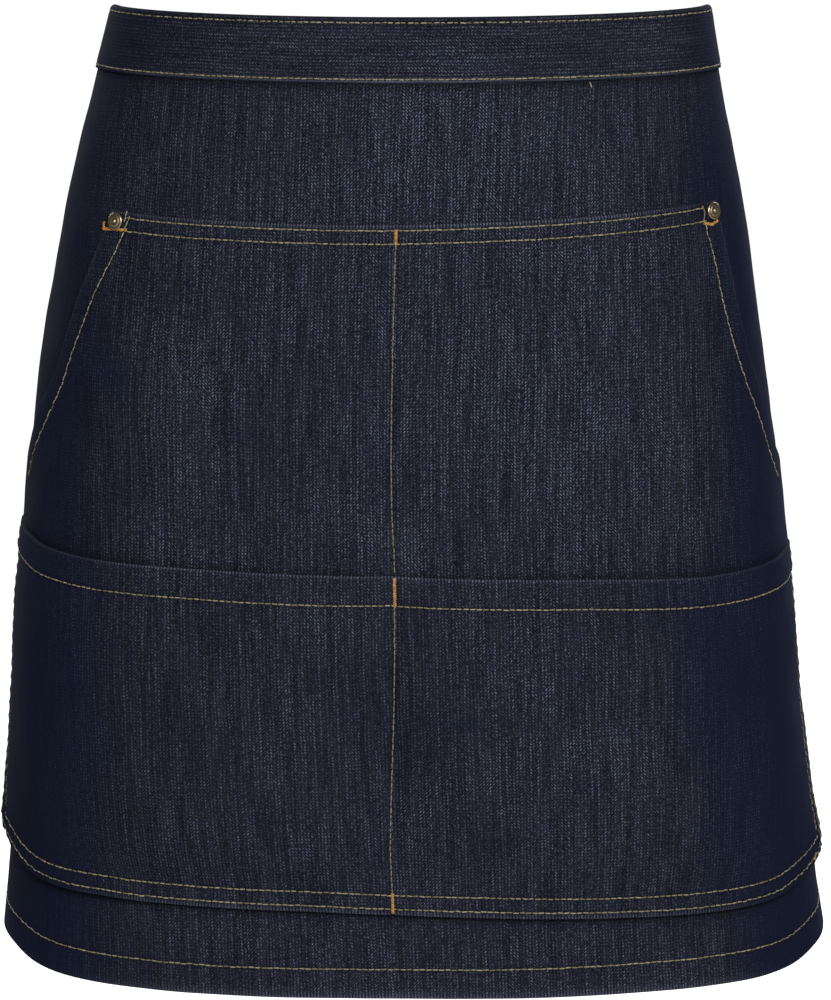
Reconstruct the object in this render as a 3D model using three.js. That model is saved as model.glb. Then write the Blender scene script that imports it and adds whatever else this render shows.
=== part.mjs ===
// A denim waist apron in its worn form. A wide cloth panel wraps the waist and hips, a folded
// waistband holds its top edge, and ties from the band's ends are knotted behind. A hand pocket
// with slanted openings lies on the panel, and a lower patch pocket lies over its foot.
// Millimetres, +Z up, the front faces -Y. The origin is the middle of the waist opening, at half
// the waistband's height.
import * as THREE from "three";

// Main panel and its cloth
const APRON_LENGTH = 499;
const APRON_WIDTH = 700;
const CLOTH = 1.2;
const SEAM_GAP = 0.3;
const HEM_DEPTH = 15;
const HEM_FOLD = 0.9;

// Body that the apron is tied round: its size at the hem, the band's fall towards the back, and how
// softly that fall begins
const HIP_WIDTH = 436;
const HIP_DEPTH = 260;
const BACK_DROP = 19;
const BACK_SOFTNESS = 0.15;
const CREASE_RISE = 2;

// Waistband and ties
const BAND_HEIGHT = 33;
const BAND_OVERHANG = 14;
const TIE_WIDTH = 25;
const TIE_TAIL = 290;
const TIE_SPREAD = 26;
const TIE_LIFT = 1.4;
const TAIL_GAP = 3;
const KNOT_WIDTH = 24;
const KNOT_HEIGHT = 30;
const KNOT_DEPTH = 13;
const KNOT_SQUARENESS = 4;

// Pockets
const POCKET_WIDTH = 514;
const CENTRE_SEAM_SHIFT = -6;
const UPPER_POCKET_TOP = 98.6;
const UPPER_TOP_SAG = 4.2;
const UPPER_TOP_TILT = 1.8;
const UPPER_TOP_HEM = 10;
const OPENING_HEIGHT = 146;
const UPPER_BULGE = 3.8;
const LOWER_POCKET_HEIGHT = 175;
const LOWER_POCKET_FOOT = 454.5;
const LOWER_BULGE = 8;
const LOWER_MOUTH_HEM = 14.5;
const FOOT_HEM = 11;
const POCKET_GAP = 0.5;
const SEAM_SOFTNESS = 26;
const SIDE_SOFTNESS = 110;
const CORNER_FLARE = 2.2;
const CORNER_SPREAD = 34;

// Rivets at the upper pocket's top corners
const RIVET_DIAMETER = 9;
const RIVET_HEIGHT = 2.4;
const RIVET_INSET = 5;
const RIVET_FALL = 5.4;
const RIVET_NUB = 1.1;

// Mesh fineness
const POCKET_STEPS_LEFT = 19;
const POCKET_STEPS_RIGHT = 20;
const WING_STEPS = 6;
const PANEL_STEPS = 12;
const BAND_LEAF_STEPS = 2;
const ARC_STEPS = 120;

const PANEL_HALF = APRON_WIDTH / 2;
const POCKET_HALF = POCKET_WIDTH / 2;
const BAND_TOP = BAND_HEIGHT / 2;
const OPENING_FOOT = UPPER_POCKET_TOP + OPENING_HEIGHT;
const FOLD_RADIUS = CLOTH * 1.5 + SEAM_GAP;

// Horizontal sections of the worn cloth. down: share of the apron's length. width and depth: shares
// of the hip's. square: exponent of the oval. sway: the oval's middle, as a share of the hip's width.
const BODY_SECTIONS = [
  { down: 0.0, width: 0.708, depth: 0.88, square: 2.0, sway: 0.004 },
  { down: 0.08, width: 0.748, depth: 0.885, square: 2.0, sway: 0.0 },
  { down: 0.23, width: 0.823, depth: 0.9, square: 2.1, sway: -0.004 },
  { down: 0.41, width: 0.882, depth: 0.94, square: 2.2, sway: -0.007 },
  { down: 0.61, width: 0.927, depth: 0.975, square: 2.3, sway: -0.005 },
  { down: 0.81, width: 0.965, depth: 1.0, square: 2.4, sway: 0.001 },
  { down: 1.0, width: 1.012, depth: 1.015, square: 2.5, sway: 0.01 },
];

// Lower edge of the panel. across: share of the panel's half width. down: share of the length.
const HEM_EDGE = [
  { across: 0.0, down: 1.0 },
  { across: 0.5, down: 0.999 },
  { across: 0.6, down: 0.996 },
  { across: 0.69, down: 0.985 },
  { across: 0.8, down: 0.977 },
  { across: 1.0, down: 0.97 },
];

// Slanted edges of the upper pocket. fall: share of the opening's height. left and right: shares
// of the pocket's half width.
const OPENING_EDGE = [
  { fall: 0.0, left: 0.628, right: 0.687 },
  { fall: 0.3, left: 0.698, right: 0.724 },
  { fall: 0.5, left: 0.741, right: 0.763 },
  { fall: 0.7, left: 0.823, right: 0.829 },
  { fall: 0.87, left: 0.901, right: 0.897 },
  { fall: 1.0, left: 1.0, right: 1.0 },
];

// Mouth and foot of the lower pocket. across: share of the pocket's half width. mouth and foot:
// how much lower each edge lies there, as shares of the pocket's height.
const LOWER_POCKET_EDGES = [
  { across: -1.0, mouth: -0.06, foot: -0.148 },
  { across: -0.93, mouth: -0.054, foot: -0.095 },
  { across: -0.85, mouth: -0.043, foot: -0.04 },
  { across: -0.77, mouth: -0.028, foot: -0.018 },
  { across: -0.6, mouth: -0.018, foot: -0.015 },
  { across: -0.3, mouth: -0.013, foot: -0.011 },
  { across: 0.0, mouth: 0.0, foot: 0.0 },
  { across: 0.35, mouth: 0.012, foot: 0.019 },
  { across: 0.6, mouth: 0.031, foot: 0.029 },
  { across: 0.76, mouth: 0.029, foot: 0.023 },
  { across: 0.86, mouth: 0.022, foot: -0.006 },
  { across: 1.0, mouth: 0.012, foot: -0.06 },
];

// Soft creases and flutes. across and down: shares of the panel's half width and length. reach and
// breadth: shares of the length. turn: degrees from upright. rise: share of the crease's rise.
const CREASES = [
  { across: -0.47, down: 0.36, reach: 0.13, breadth: 0.045, turn: -52, rise: 1.0 },
  { across: -0.5, down: 0.42, reach: 0.11, breadth: 0.04, turn: -50, rise: -0.9 },
  { across: -0.42, down: 0.5, reach: 0.12, breadth: 0.05, turn: -8, rise: 0.7 },
  { across: 0.12, down: 0.52, reach: 0.09, breadth: 0.045, turn: 62, rise: -0.8 },
  { across: 0.28, down: 0.72, reach: 0.12, breadth: 0.04, turn: 84, rise: -0.8 },
  { across: 0.18, down: 0.84, reach: 0.11, breadth: 0.04, turn: 58, rise: -0.7 },
  { across: -0.02, down: 0.12, reach: 0.12, breadth: 0.06, turn: 70, rise: 0.6 },
  { across: 0.72, down: 0.52, reach: 0.14, breadth: 0.09, turn: 0, rise: 0.8 },
  { across: -0.97, down: 1.0, reach: 0.42, breadth: 0.045, turn: 3, rise: 3.2 },
  { across: 0.97, down: 1.0, reach: 0.42, breadth: 0.045, turn: -3, rise: 3.2 },
  { across: -0.89, down: 1.0, reach: 0.36, breadth: 0.04, turn: 3, rise: -2.0 },
  { across: 0.89, down: 1.0, reach: 0.36, breadth: 0.04, turn: -3, rise: -2.0 },
];

const denim = new THREE.MeshStandardMaterial({ color: 0x2a3042, roughness: 0.92, metalness: 0.0 });
const pocketDenim = new THREE.MeshStandardMaterial({ color: 0x303749, roughness: 0.92, metalness: 0.0 });
const bandDenim = new THREE.MeshStandardMaterial({ color: 0x262c3d, roughness: 0.92, metalness: 0.0 });
const agedBrass = new THREE.MeshStandardMaterial({ color: 0x9a7c4c, roughness: 0.38, metalness: 1.0 });

// Smooth value of a table's column at a place along its first column: cubic through the rows,
// with each row's slope taken from its neighbours.
function tableValue(table, along, column, place) {
  const last = table.length - 1;
  const at = Math.min(Math.max(place, table[0][along]), table[last][along]);
  let row = 0;
  while (row < last - 1 && at > table[row + 1][along]) {
    row += 1;
  }
  const slopeAt = (index) => {
    const before = table[Math.max(index - 1, 0)];
    const after = table[Math.min(index + 1, last)];
    return (after[column] - before[column]) / (after[along] - before[along]);
  };
  const start = table[row];
  const end = table[row + 1];
  const span = end[along] - start[along];
  const t = (at - start[along]) / span;
  const lineStart = start[column] * (1 + 2 * t) * (1 - t) ** 2;
  const lineEnd = end[column] * (3 - 2 * t) * t ** 2;
  const bendStart = slopeAt(row) * span * t * (1 - t) ** 2;
  const bendEnd = slopeAt(row + 1) * span * (t - 1) * t ** 2;
  return lineStart + lineEnd + bendStart + bendEnd;
}

// Oval section of the worn cloth at a distance down from the band's top edge.
function sectionAt(down) {
  const share = down / APRON_LENGTH;
  return {
    halfWidth: (tableValue(BODY_SECTIONS, "down", "width", share) * HIP_WIDTH) / 2,
    halfDepth: (tableValue(BODY_SECTIONS, "down", "depth", share) * HIP_DEPTH) / 2,
    square: tableValue(BODY_SECTIONS, "down", "square", share),
    sway: tableValue(BODY_SECTIONS, "down", "sway", share) * HIP_WIDTH,
  };
}

// Point of the oval seen from its middle at an angle from the front, and its outward direction.
function ovalPoint(section, angle) {
  const alongX = Math.abs(Math.sin(angle) / section.halfWidth) ** section.square;
  const alongY = Math.abs(Math.cos(angle) / section.halfDepth) ** section.square;
  const radius = (alongX + alongY) ** (-1 / section.square);
  return new THREE.Vector2(radius * Math.sin(angle), -radius * Math.cos(angle));
}

function ovalNormal(section, point) {
  const power = section.square - 1;
  const x = (Math.sign(point.x) * Math.abs(point.x / section.halfWidth) ** power) / section.halfWidth;
  const y = (Math.sign(point.y) * Math.abs(point.y / section.halfDepth) ** power) / section.halfDepth;
  return new THREE.Vector2(x, y).normalize();
}

// Lengths round the oval from its front to its back, on one side, one for each step of the angle.
function arcLengths(section) {
  const lengths = [0];
  let before = ovalPoint(section, 0);
  for (let step = 1; step <= ARC_STEPS; step += 1) {
    const point = ovalPoint(section, (Math.PI * step) / ARC_STEPS);
    lengths.push(lengths[step - 1] + point.distanceTo(before));
    before = point;
  }
  return lengths;
}

function angleAlong(lengths, distance) {
  let step = 0;
  while (step < ARC_STEPS - 1 && lengths[step + 1] < distance) {
    step += 1;
  }
  const share = (distance - lengths[step]) / (lengths[step + 1] - lengths[step]);
  return (Math.PI * (step + share)) / ARC_STEPS;
}

// Distance round from the front's middle to the back's middle at one height.
function backDistance(down) {
  return arcLengths(sectionAt(down))[ARC_STEPS];
}

// Outward rise of the cloth's creases and flutes.
function creaseRise(across, down) {
  let rise = 0;
  for (const crease of CREASES) {
    const turn = THREE.MathUtils.degToRad(crease.turn);
    const dx = across - crease.across * PANEL_HALF;
    const dy = down - crease.down * APRON_LENGTH;
    const along = (dy * Math.cos(turn) - dx * Math.sin(turn)) / (crease.reach * APRON_LENGTH);
    const aside = (dx * Math.cos(turn) + dy * Math.sin(turn)) / (crease.breadth * APRON_LENGTH);
    rise += crease.rise * CREASE_RISE * Math.exp(-(along ** 2) - aside ** 2);
  }
  return rise;
}

// Place in space of a point of cloth: across is its distance round from the front's middle, down
// its distance below the band's top edge, and lift its distance out from the panel's outer face.
function worn(across, down, lift) {
  const section = sectionAt(down);
  const angle = Math.sign(across) * angleAlong(arcLengths(section), Math.abs(across));
  const point = ovalPoint(section, angle);
  const normal = ovalNormal(section, point);
  const out = lift + creaseRise(across, down);
  const behind = point.y / section.halfDepth;
  const backShare = (behind + Math.hypot(behind, BACK_SOFTNESS)) / 2;
  const drop = BACK_DROP * backShare * Math.max(1 - down / APRON_LENGTH, 0);
  return new THREE.Vector3(
    point.x + section.sway + out * normal.x,
    point.y + out * normal.y,
    BAND_TOP - down - drop,
  );
}

// Closed piece of cloth from a grid of points: columns across, steps along, and two faces, outer
// and inner, joined by a rim all round. Each cell is cut along its shorter diagonal.
function clothGeometry(columns, steps, pointAt) {
  const points = [];
  for (const face of ["outer", "inner"]) {
    for (let column = 0; column <= columns; column += 1) {
      for (let step = 0; step <= steps; step += 1) {
        points.push(pointAt(column, step, face));
      }
    }
  }
  const index = [];
  const corner = (face, column, step) => (face * (columns + 1) + column) * (steps + 1) + step;
  const quad = (a, b, c, d) => {
    const firstIsShort = points[a].distanceTo(points[c]) <= points[b].distanceTo(points[d]);
    index.push(...(firstIsShort ? [a, b, c, a, c, d] : [a, b, d, b, c, d]));
  };
  for (let column = 0; column < columns; column += 1) {
    for (let step = 0; step < steps; step += 1) {
      quad(corner(0, column, step), corner(0, column, step + 1),
        corner(0, column + 1, step + 1), corner(0, column + 1, step));
      quad(corner(1, column, step), corner(1, column + 1, step),
        corner(1, column + 1, step + 1), corner(1, column, step + 1));
    }
    quad(corner(0, column, 0), corner(0, column + 1, 0), corner(1, column + 1, 0), corner(1, column, 0));
    quad(corner(0, column + 1, steps), corner(0, column, steps),
      corner(1, column, steps), corner(1, column + 1, steps));
  }
  for (let step = 0; step < steps; step += 1) {
    quad(corner(0, 0, step + 1), corner(0, 0, step), corner(1, 0, step), corner(1, 0, step + 1));
    quad(corner(0, columns, step), corner(0, columns, step + 1),
      corner(1, columns, step + 1), corner(1, columns, step));
  }
  const geometry = new THREE.BufferGeometry().setFromPoints(points);
  geometry.setIndex(index);
  geometry.computeVertexNormals();
  return geometry;
}

function namedMesh(name, geometry, material) {
  const mesh = new THREE.Mesh(geometry, material);
  mesh.name = name;
  return mesh;
}

// Even steps between two values, the first value left out.
function evenSteps(from, to, count) {
  return Array.from({ length: count }, (unused, step) => from + ((to - from) * (step + 1)) / count);
}

// Columns shared by the panel and both pockets, with one on the centre seam.
const pocketColumns = [
  -POCKET_HALF,
  ...evenSteps(-POCKET_HALF, CENTRE_SEAM_SHIFT, POCKET_STEPS_LEFT),
  ...evenSteps(CENTRE_SEAM_SHIFT, POCKET_HALF, POCKET_STEPS_RIGHT),
];
const panelColumns = [
  -PANEL_HALF,
  ...evenSteps(-PANEL_HALF, -POCKET_HALF, WING_STEPS),
  ...pocketColumns.slice(1),
  ...evenSteps(POCKET_HALF, PANEL_HALF, WING_STEPS),
];

function hemDown(across) {
  return APRON_LENGTH * tableValue(HEM_EDGE, "across", "down", Math.abs(across) / PANEL_HALF);
}

// Main panel: from inside the band's fold to a hem turned in to the back.
function mainPanel() {
  const bandSteps = [FOLD_RADIUS, ...evenSteps(FOLD_RADIUS, BAND_HEIGHT, BAND_LEAF_STEPS)];
  const hemSteps = bandSteps.length + PANEL_STEPS;
  const geometry = clothGeometry(panelColumns.length - 1, hemSteps + 1, (column, step, face) => {
    const across = panelColumns[column];
    const hemTop = hemDown(across) - HEM_DEPTH;
    const rows = [
      ...bandSteps,
      ...evenSteps(BAND_HEIGHT, OPENING_FOOT, PANEL_STEPS / 2),
      ...evenSteps(OPENING_FOOT, hemTop, PANEL_STEPS / 2),
      hemTop + HEM_FOLD,
      hemDown(across),
    ];
    const wall = step >= hemSteps ? CLOTH + HEM_FOLD : CLOTH;
    return worn(across, rows[step], face === "outer" ? 0 : -wall);
  });
  return namedMesh("main_panel", geometry, denim);
}

// Waistband: one strip folded over the panel's top edge, standing clear of it by the seam's gap.
function waistband() {
  const reach = PANEL_HALF + BAND_OVERHANG;
  const columns = [-reach, ...panelColumns, reach];
  const middle = -CLOTH / 2;
  const innerRadius = CLOTH / 2 + SEAM_GAP;
  const foldSteps = 4;
  const steps = BAND_LEAF_STEPS * 2 + foldSteps;
  const geometry = clothGeometry(columns.length - 1, steps, (column, step, face) => {
    const radius = face === "outer" ? FOLD_RADIUS : innerRadius;
    const foldStep = Math.min(Math.max(step - BAND_LEAF_STEPS, 0), foldSteps);
    const angle = (Math.PI * foldStep) / foldSteps;
    const leafShare = Math.max(1 - step / BAND_LEAF_STEPS, (step - foldSteps) / BAND_LEAF_STEPS - 1, 0);
    const foldDown = FOLD_RADIUS - radius * Math.sin(angle);
    const down = foldDown + leafShare * (BAND_HEIGHT - foldDown);
    return worn(columns[column], down, middle - radius * Math.cos(angle));
  });
  return namedMesh("waistband", geometry, bandDenim);
}

// Soft rise of a pocket's cloth away from a seam: none on it, nearly full a few centimetres off.
function awayFrom(distance) {
  return 1 - Math.exp(-Math.max(distance, 0) / SEAM_SOFTNESS);
}

function lowerMouth(across) {
  const share = tableValue(LOWER_POCKET_EDGES, "across", "mouth", across / POCKET_HALF);
  return LOWER_POCKET_FOOT - LOWER_POCKET_HEIGHT + share * LOWER_POCKET_HEIGHT;
}

function pocketFoot(across) {
  const share = tableValue(LOWER_POCKET_EDGES, "across", "foot", across / POCKET_HALF);
  return LOWER_POCKET_FOOT + share * LOWER_POCKET_HEIGHT;
}

// Top edge of the upper pocket: sagging a little between its corners and higher on the right.
function upperTop(across) {
  const share = across / (POCKET_HALF * OPENING_EDGE[0].right);
  return UPPER_POCKET_TOP - UPPER_TOP_TILT * share + UPPER_TOP_SAG * (1 - share ** 2);
}

// Side edge of the upper pocket at one height: slanted down to the opening's foot, then upright.
function openingReach(side, down) {
  const fall = (down - UPPER_POCKET_TOP) / OPENING_HEIGHT;
  return POCKET_HALF * tableValue(OPENING_EDGE, "fall", side, fall);
}

// Share of a pocket's full rise, held down by its foot, its centre seam and, more widely, its sides.
function pocketRise(across, down) {
  const fromFoot = pocketFoot(across) - FOOT_HEM - down;
  const fromCentre = Math.abs(across - CENTRE_SEAM_SHIFT);
  const fromSide = POCKET_HALF - Math.abs(across);
  const sideRise = THREE.MathUtils.smoothstep(fromSide, 0, SIDE_SOFTNESS);
  return awayFrom(fromFoot) * awayFrom(fromCentre) * sideRise;
}

// Stiff lower corners of the pockets, standing a little off the panel.
function cornerFlare(across, down) {
  const fromSide = POCKET_HALF - Math.abs(across);
  const fromFoot = pocketFoot(across) - down;
  return CORNER_FLARE * Math.exp(-(fromSide ** 2 + fromFoot ** 2) / CORNER_SPREAD ** 2);
}

// Lift of the upper pocket's inner face: also seamed along its top.
function upperLift(across, down) {
  const fromTop = down - upperTop(across) - UPPER_TOP_HEM;
  const rise = awayFrom(fromTop) * pocketRise(across, down);
  return POCKET_GAP + UPPER_BULGE * rise + cornerFlare(across, down);
}

// Lift of the lower pocket's inner face: over the upper pocket, open along its mouth.
function lowerLift(across, down) {
  return upperLift(across, down) + CLOTH + POCKET_GAP + LOWER_BULGE * pocketRise(across, down);
}

// Upper pocket: a wide hand pocket whose top corners are cut away in slanted openings.
function upperPocket() {
  const bodySteps = evenSteps(0, 1, 8);
  const openingSteps = evenSteps(0, 1, 9);
  const steps = 1 + openingSteps.length + bodySteps.length;
  const geometry = clothGeometry(pocketColumns.length - 1, steps, (column, step, face) => {
    const plain = pocketColumns[column];
    const side = plain < CENTRE_SEAM_SHIFT ? "left" : "right";
    const edge = side === "left" ? -POCKET_HALF : POCKET_HALF;
    const share = (plain - CENTRE_SEAM_SHIFT) / (edge - CENTRE_SEAM_SHIFT);
    let level = UPPER_POCKET_TOP + UPPER_TOP_HEM;
    if (step === 0) {
      level = UPPER_POCKET_TOP;
    } else if (step > 1 && step <= 1 + openingSteps.length) {
      level += openingSteps[step - 2] * (OPENING_FOOT - level);
    } else if (step > 1) {
      level = OPENING_FOOT;
    }
    const reach = openingReach(side, level) * Math.sign(edge);
    const across = CENTRE_SEAM_SHIFT + share * (reach - CENTRE_SEAM_SHIFT);
    const topShare = Math.max(1 - (level - UPPER_POCKET_TOP) / OPENING_HEIGHT, 0);
    let down = level + (upperTop(across) - UPPER_POCKET_TOP) * topShare;
    if (step > 1 + openingSteps.length) {
      const bodyShare = bodySteps[step - 2 - openingSteps.length];
      down = OPENING_FOOT + bodyShare * (pocketFoot(across) - SEAM_GAP - OPENING_FOOT);
    }
    const lift = upperLift(across, down);
    return worn(across, down, face === "outer" ? lift + CLOTH : lift);
  });
  return namedMesh("upper_pocket", geometry, pocketDenim);
}

// Lower pocket: a patch across the front with a hemmed mouth, over the upper pocket's foot.
function lowerPocket() {
  const steps = 9;
  const geometry = clothGeometry(pocketColumns.length - 1, steps, (column, step, face) => {
    const across = pocketColumns[column];
    const mouth = lowerMouth(across);
    const hemFoot = mouth + LOWER_MOUTH_HEM;
    const foot = pocketFoot(across);
    const inHem = step <= 1;
    const bodyShare = Math.max(step - 2, 0) / (steps - 2);
    const body = hemFoot + HEM_FOLD + bodyShare * (foot - hemFoot - HEM_FOLD);
    const down = inHem ? mouth + step * LOWER_MOUTH_HEM : body;
    const lift = lowerLift(across, down);
    const wall = inHem ? CLOTH + HEM_FOLD : CLOTH;
    return worn(across, down, face === "outer" ? lift + wall : lift);
  });
  return namedMesh("lower_pocket", geometry, pocketDenim);
}

// Domed rivet on the upper pocket's top corner: a rim, a low dome and a small nub in its middle.
function rivet(name, side) {
  const radius = RIVET_DIAMETER / 2;
  const profile = [
    new THREE.Vector2(0, 0),
    new THREE.Vector2(radius * 0.86, 0),
    new THREE.Vector2(radius, RIVET_HEIGHT * 0.25),
    new THREE.Vector2(radius * 0.9, RIVET_HEIGHT * 0.62),
    new THREE.Vector2(radius * 0.6, RIVET_HEIGHT * 0.84),
    new THREE.Vector2(RIVET_NUB, RIVET_HEIGHT * 0.84),
    new THREE.Vector2(RIVET_NUB * 0.7, RIVET_HEIGHT),
    new THREE.Vector2(0, RIVET_HEIGHT),
  ];
  const mesh = namedMesh(name, new THREE.LatheGeometry(profile, 18), agedBrass);
  const sign = side === "left" ? -1 : 1;
  const across = sign * (openingReach(side, UPPER_POCKET_TOP) - RIVET_INSET);
  const down = upperTop(across) + RIVET_FALL;
  const lift = upperLift(across, down) + CLOTH + SEAM_GAP;
  const base = worn(across, down, lift);
  const tip = worn(across, down, lift + RIVET_HEIGHT);
  const below = worn(across, down + RIVET_DIAMETER, lift);
  const aside = worn(across + RIVET_DIAMETER, down, lift);
  const downward = below.sub(base);
  const sideways = aside.sub(base);
  const outward = new THREE.Vector3().crossVectors(sideways, downward).normalize();
  if (outward.dot(tip.sub(base)) < 0) {
    outward.negate();
  }
  mesh.position.copy(base);
  mesh.quaternion.setFromUnitVectors(new THREE.Vector3(0, 1, 0), outward);
  return mesh;
}

// Tie: a strip sewn into the band's end, lying round the back to the knot.
function tie(name, side) {
  const sign = side === "left" ? -1 : 1;
  const columns = 5;
  const start = PANEL_HALF + SEAM_GAP;
  const top = (BAND_HEIGHT - TIE_WIDTH) / 2;
  const geometry = clothGeometry(columns, 2, (column, step, face) => {
    const along = sign > 0 ? column / columns : 1 - column / columns;
    const down = top + (TIE_WIDTH * step) / 2;
    const end = backDistance(down) - KNOT_WIDTH / 2 - SEAM_GAP;
    const across = sign * (start + along * (end - start));
    return worn(across, down, face === "outer" ? 0 : -CLOTH);
  });
  return namedMesh(name, geometry, bandDenim);
}

// Knot: a plain rounded lump over the crossed ties, in the middle of the back.
function knot() {
  const geometry = new THREE.SphereGeometry(1, 20, 12);
  const place = geometry.getAttribute("position");
  for (let vertex = 0; vertex < place.count; vertex += 1) {
    const ray = new THREE.Vector3().fromBufferAttribute(place, vertex);
    const size = ray.toArray().reduce((sum, value) => sum + Math.abs(value) ** KNOT_SQUARENESS, 0);
    ray.multiplyScalar(size ** (-1 / KNOT_SQUARENESS));
    place.setXYZ(vertex, (ray.x * KNOT_WIDTH) / 2, (ray.z * KNOT_DEPTH) / 2, (ray.y * KNOT_HEIGHT) / 2);
  }
  geometry.setIndex(Array.from(geometry.getIndex().array).reverse());
  geometry.computeVertexNormals();
  const mesh = namedMesh("tie_knot", geometry, bandDenim);
  mesh.position.copy(worn(backDistance(BAND_TOP), BAND_TOP, -CLOTH / 2));
  return mesh;
}

// Tail: the tie's free end, hanging from the knot over the back.
function tail(name, side) {
  const sign = side === "left" ? -1 : 1;
  const steps = 12;
  const fallShare = 1 - BACK_DROP / APRON_LENGTH;
  const knotFoot = BAND_TOP + (KNOT_HEIGHT / 2 + SEAM_GAP) / fallShare;
  const geometry = clothGeometry(2, steps, (column, step, face) => {
    const share = step / steps;
    const down = knotFoot + share * TIE_TAIL;
    const inset = TAIL_GAP / 2 + TIE_SPREAD * share ** 1.3;
    const widthShare = sign > 0 ? 1 - column / 2 : column / 2;
    const fromBack = inset + widthShare * TIE_WIDTH;
    const lift = TIE_LIFT + CREASE_RISE * Math.sin(share * Math.PI * 2) * share;
    const across = sign * (backDistance(down) - fromBack);
    return worn(across, down, face === "outer" ? lift + CLOTH : lift);
  });
  return namedMesh(name, geometry, bandDenim);
}

const apron = new THREE.Group();
apron.add(
  mainPanel(),
  waistband(),
  upperPocket(),
  lowerPocket(),
  rivet("rivet_left", "left"),
  rivet("rivet_right", "right"),
  tie("tie_left", "left"),
  tie("tie_right", "right"),
  knot(),
  tail("tail_left", "left"),
  tail("tail_right", "right"),
);

export default apron;
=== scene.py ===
"""Denim waist apron in its worn form: cloth, topstitching, bar tacks, rivets and a plain studio."""

import math
from functools import partial

import bmesh
import bpy
import numpy as np
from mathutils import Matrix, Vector


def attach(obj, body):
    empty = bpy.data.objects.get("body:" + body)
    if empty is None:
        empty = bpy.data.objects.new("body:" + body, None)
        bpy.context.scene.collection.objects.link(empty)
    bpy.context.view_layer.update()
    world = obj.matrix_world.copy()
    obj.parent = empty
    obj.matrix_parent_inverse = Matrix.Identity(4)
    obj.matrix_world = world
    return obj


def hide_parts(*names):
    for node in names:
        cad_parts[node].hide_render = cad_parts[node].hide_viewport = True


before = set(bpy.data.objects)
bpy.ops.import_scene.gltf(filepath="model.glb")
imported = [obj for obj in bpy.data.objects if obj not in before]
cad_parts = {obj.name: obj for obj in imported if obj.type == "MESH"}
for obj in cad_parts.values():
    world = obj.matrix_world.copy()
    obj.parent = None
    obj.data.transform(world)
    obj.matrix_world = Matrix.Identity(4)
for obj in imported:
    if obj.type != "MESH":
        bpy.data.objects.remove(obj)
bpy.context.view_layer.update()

# One millimetre in metres
MM = 0.001

# Sizes in millimetres, the same as in the part's source
APRON_LENGTH = 499.0
APRON_WIDTH = 700.0
CLOTH = 1.2
SEAM_GAP = 0.3
HEM_DEPTH = 15.0
HEM_FOLD = 0.9
HIP_WIDTH = 436.0
HIP_DEPTH = 260.0
BACK_DROP = 19.0
BACK_SOFTNESS = 0.15
CREASE_RISE = 2.0
BAND_HEIGHT = 33.0
BAND_OVERHANG = 14.0
TIE_WIDTH = 25.0
TIE_TAIL = 290.0
TIE_SPREAD = 26.0
TIE_LIFT = 1.4
TAIL_GAP = 3.0
KNOT_WIDTH = 24.0
KNOT_HEIGHT = 30.0
KNOT_DEPTH = 13.0
POCKET_WIDTH = 514.0
CENTRE_SEAM_SHIFT = -6.0
UPPER_POCKET_TOP = 98.6
UPPER_TOP_SAG = 4.2
UPPER_TOP_TILT = 1.8
UPPER_TOP_HEM = 10.0
OPENING_HEIGHT = 146.0
UPPER_BULGE = 3.8
LOWER_POCKET_HEIGHT = 175.0
LOWER_POCKET_FOOT = 454.5
LOWER_BULGE = 8.0
LOWER_MOUTH_HEM = 14.5
FOOT_HEM = 11.0
POCKET_GAP = 0.5
SEAM_SOFTNESS = 26.0
SIDE_SOFTNESS = 110.0
CORNER_FLARE = 2.2
CORNER_SPREAD = 34.0
RIVET_DIAMETER = 9.0
RIVET_INSET = 5.0
RIVET_FALL = 5.4

PANEL_HALF = APRON_WIDTH / 2
POCKET_HALF = POCKET_WIDTH / 2
BAND_TOP = BAND_HEIGHT / 2
OPENING_FOOT = UPPER_POCKET_TOP + OPENING_HEIGHT
FOLD_RADIUS = CLOTH * 1.5 + SEAM_GAP

# Rows of topstitching: distances from the edges, in millimetres
BAND_TOP_STITCH = 2.8
BAND_STITCH = 2.2
TOP_STITCH_OUTER = 3.0
TOP_STITCH_INNER = 9.7
MOUTH_STITCH = 15.0
FOOT_STITCHES = (3.5, 10.8)
HEM_STITCH = 15.4
SIDE_HEM_STITCH = 9.0
# Last height at which the slanted stitching presses the cloth
SLANT_FOOT = OPENING_FOOT + 6.0
# Distance square to a slanted edge for each millimetre across
SLANT_SHARE = 0.85

# Horizontal sections of the worn cloth: down, width, depth, square, sway
BODY_SECTIONS = np.array([
    (0.0, 0.708, 0.88, 2.0, 0.004),
    (0.08, 0.748, 0.885, 2.0, 0.0),
    (0.23, 0.823, 0.9, 2.1, -0.004),
    (0.41, 0.882, 0.94, 2.2, -0.007),
    (0.61, 0.927, 0.975, 2.3, -0.005),
    (0.81, 0.965, 1.0, 2.4, 0.001),
    (1.0, 1.012, 1.015, 2.5, 0.01),
])
# Lower edge of the panel: across, down
HEM_EDGE = np.array([
    (0.0, 1.0),
    (0.5, 0.999),
    (0.6, 0.996),
    (0.69, 0.985),
    (0.8, 0.977),
    (1.0, 0.97),
])
# Slanted edges of the upper pocket: fall, left, right
OPENING_EDGE = np.array([
    (0.0, 0.628, 0.687),
    (0.3, 0.698, 0.724),
    (0.5, 0.741, 0.763),
    (0.7, 0.823, 0.829),
    (0.87, 0.901, 0.897),
    (1.0, 1.0, 1.0),
])
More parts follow.
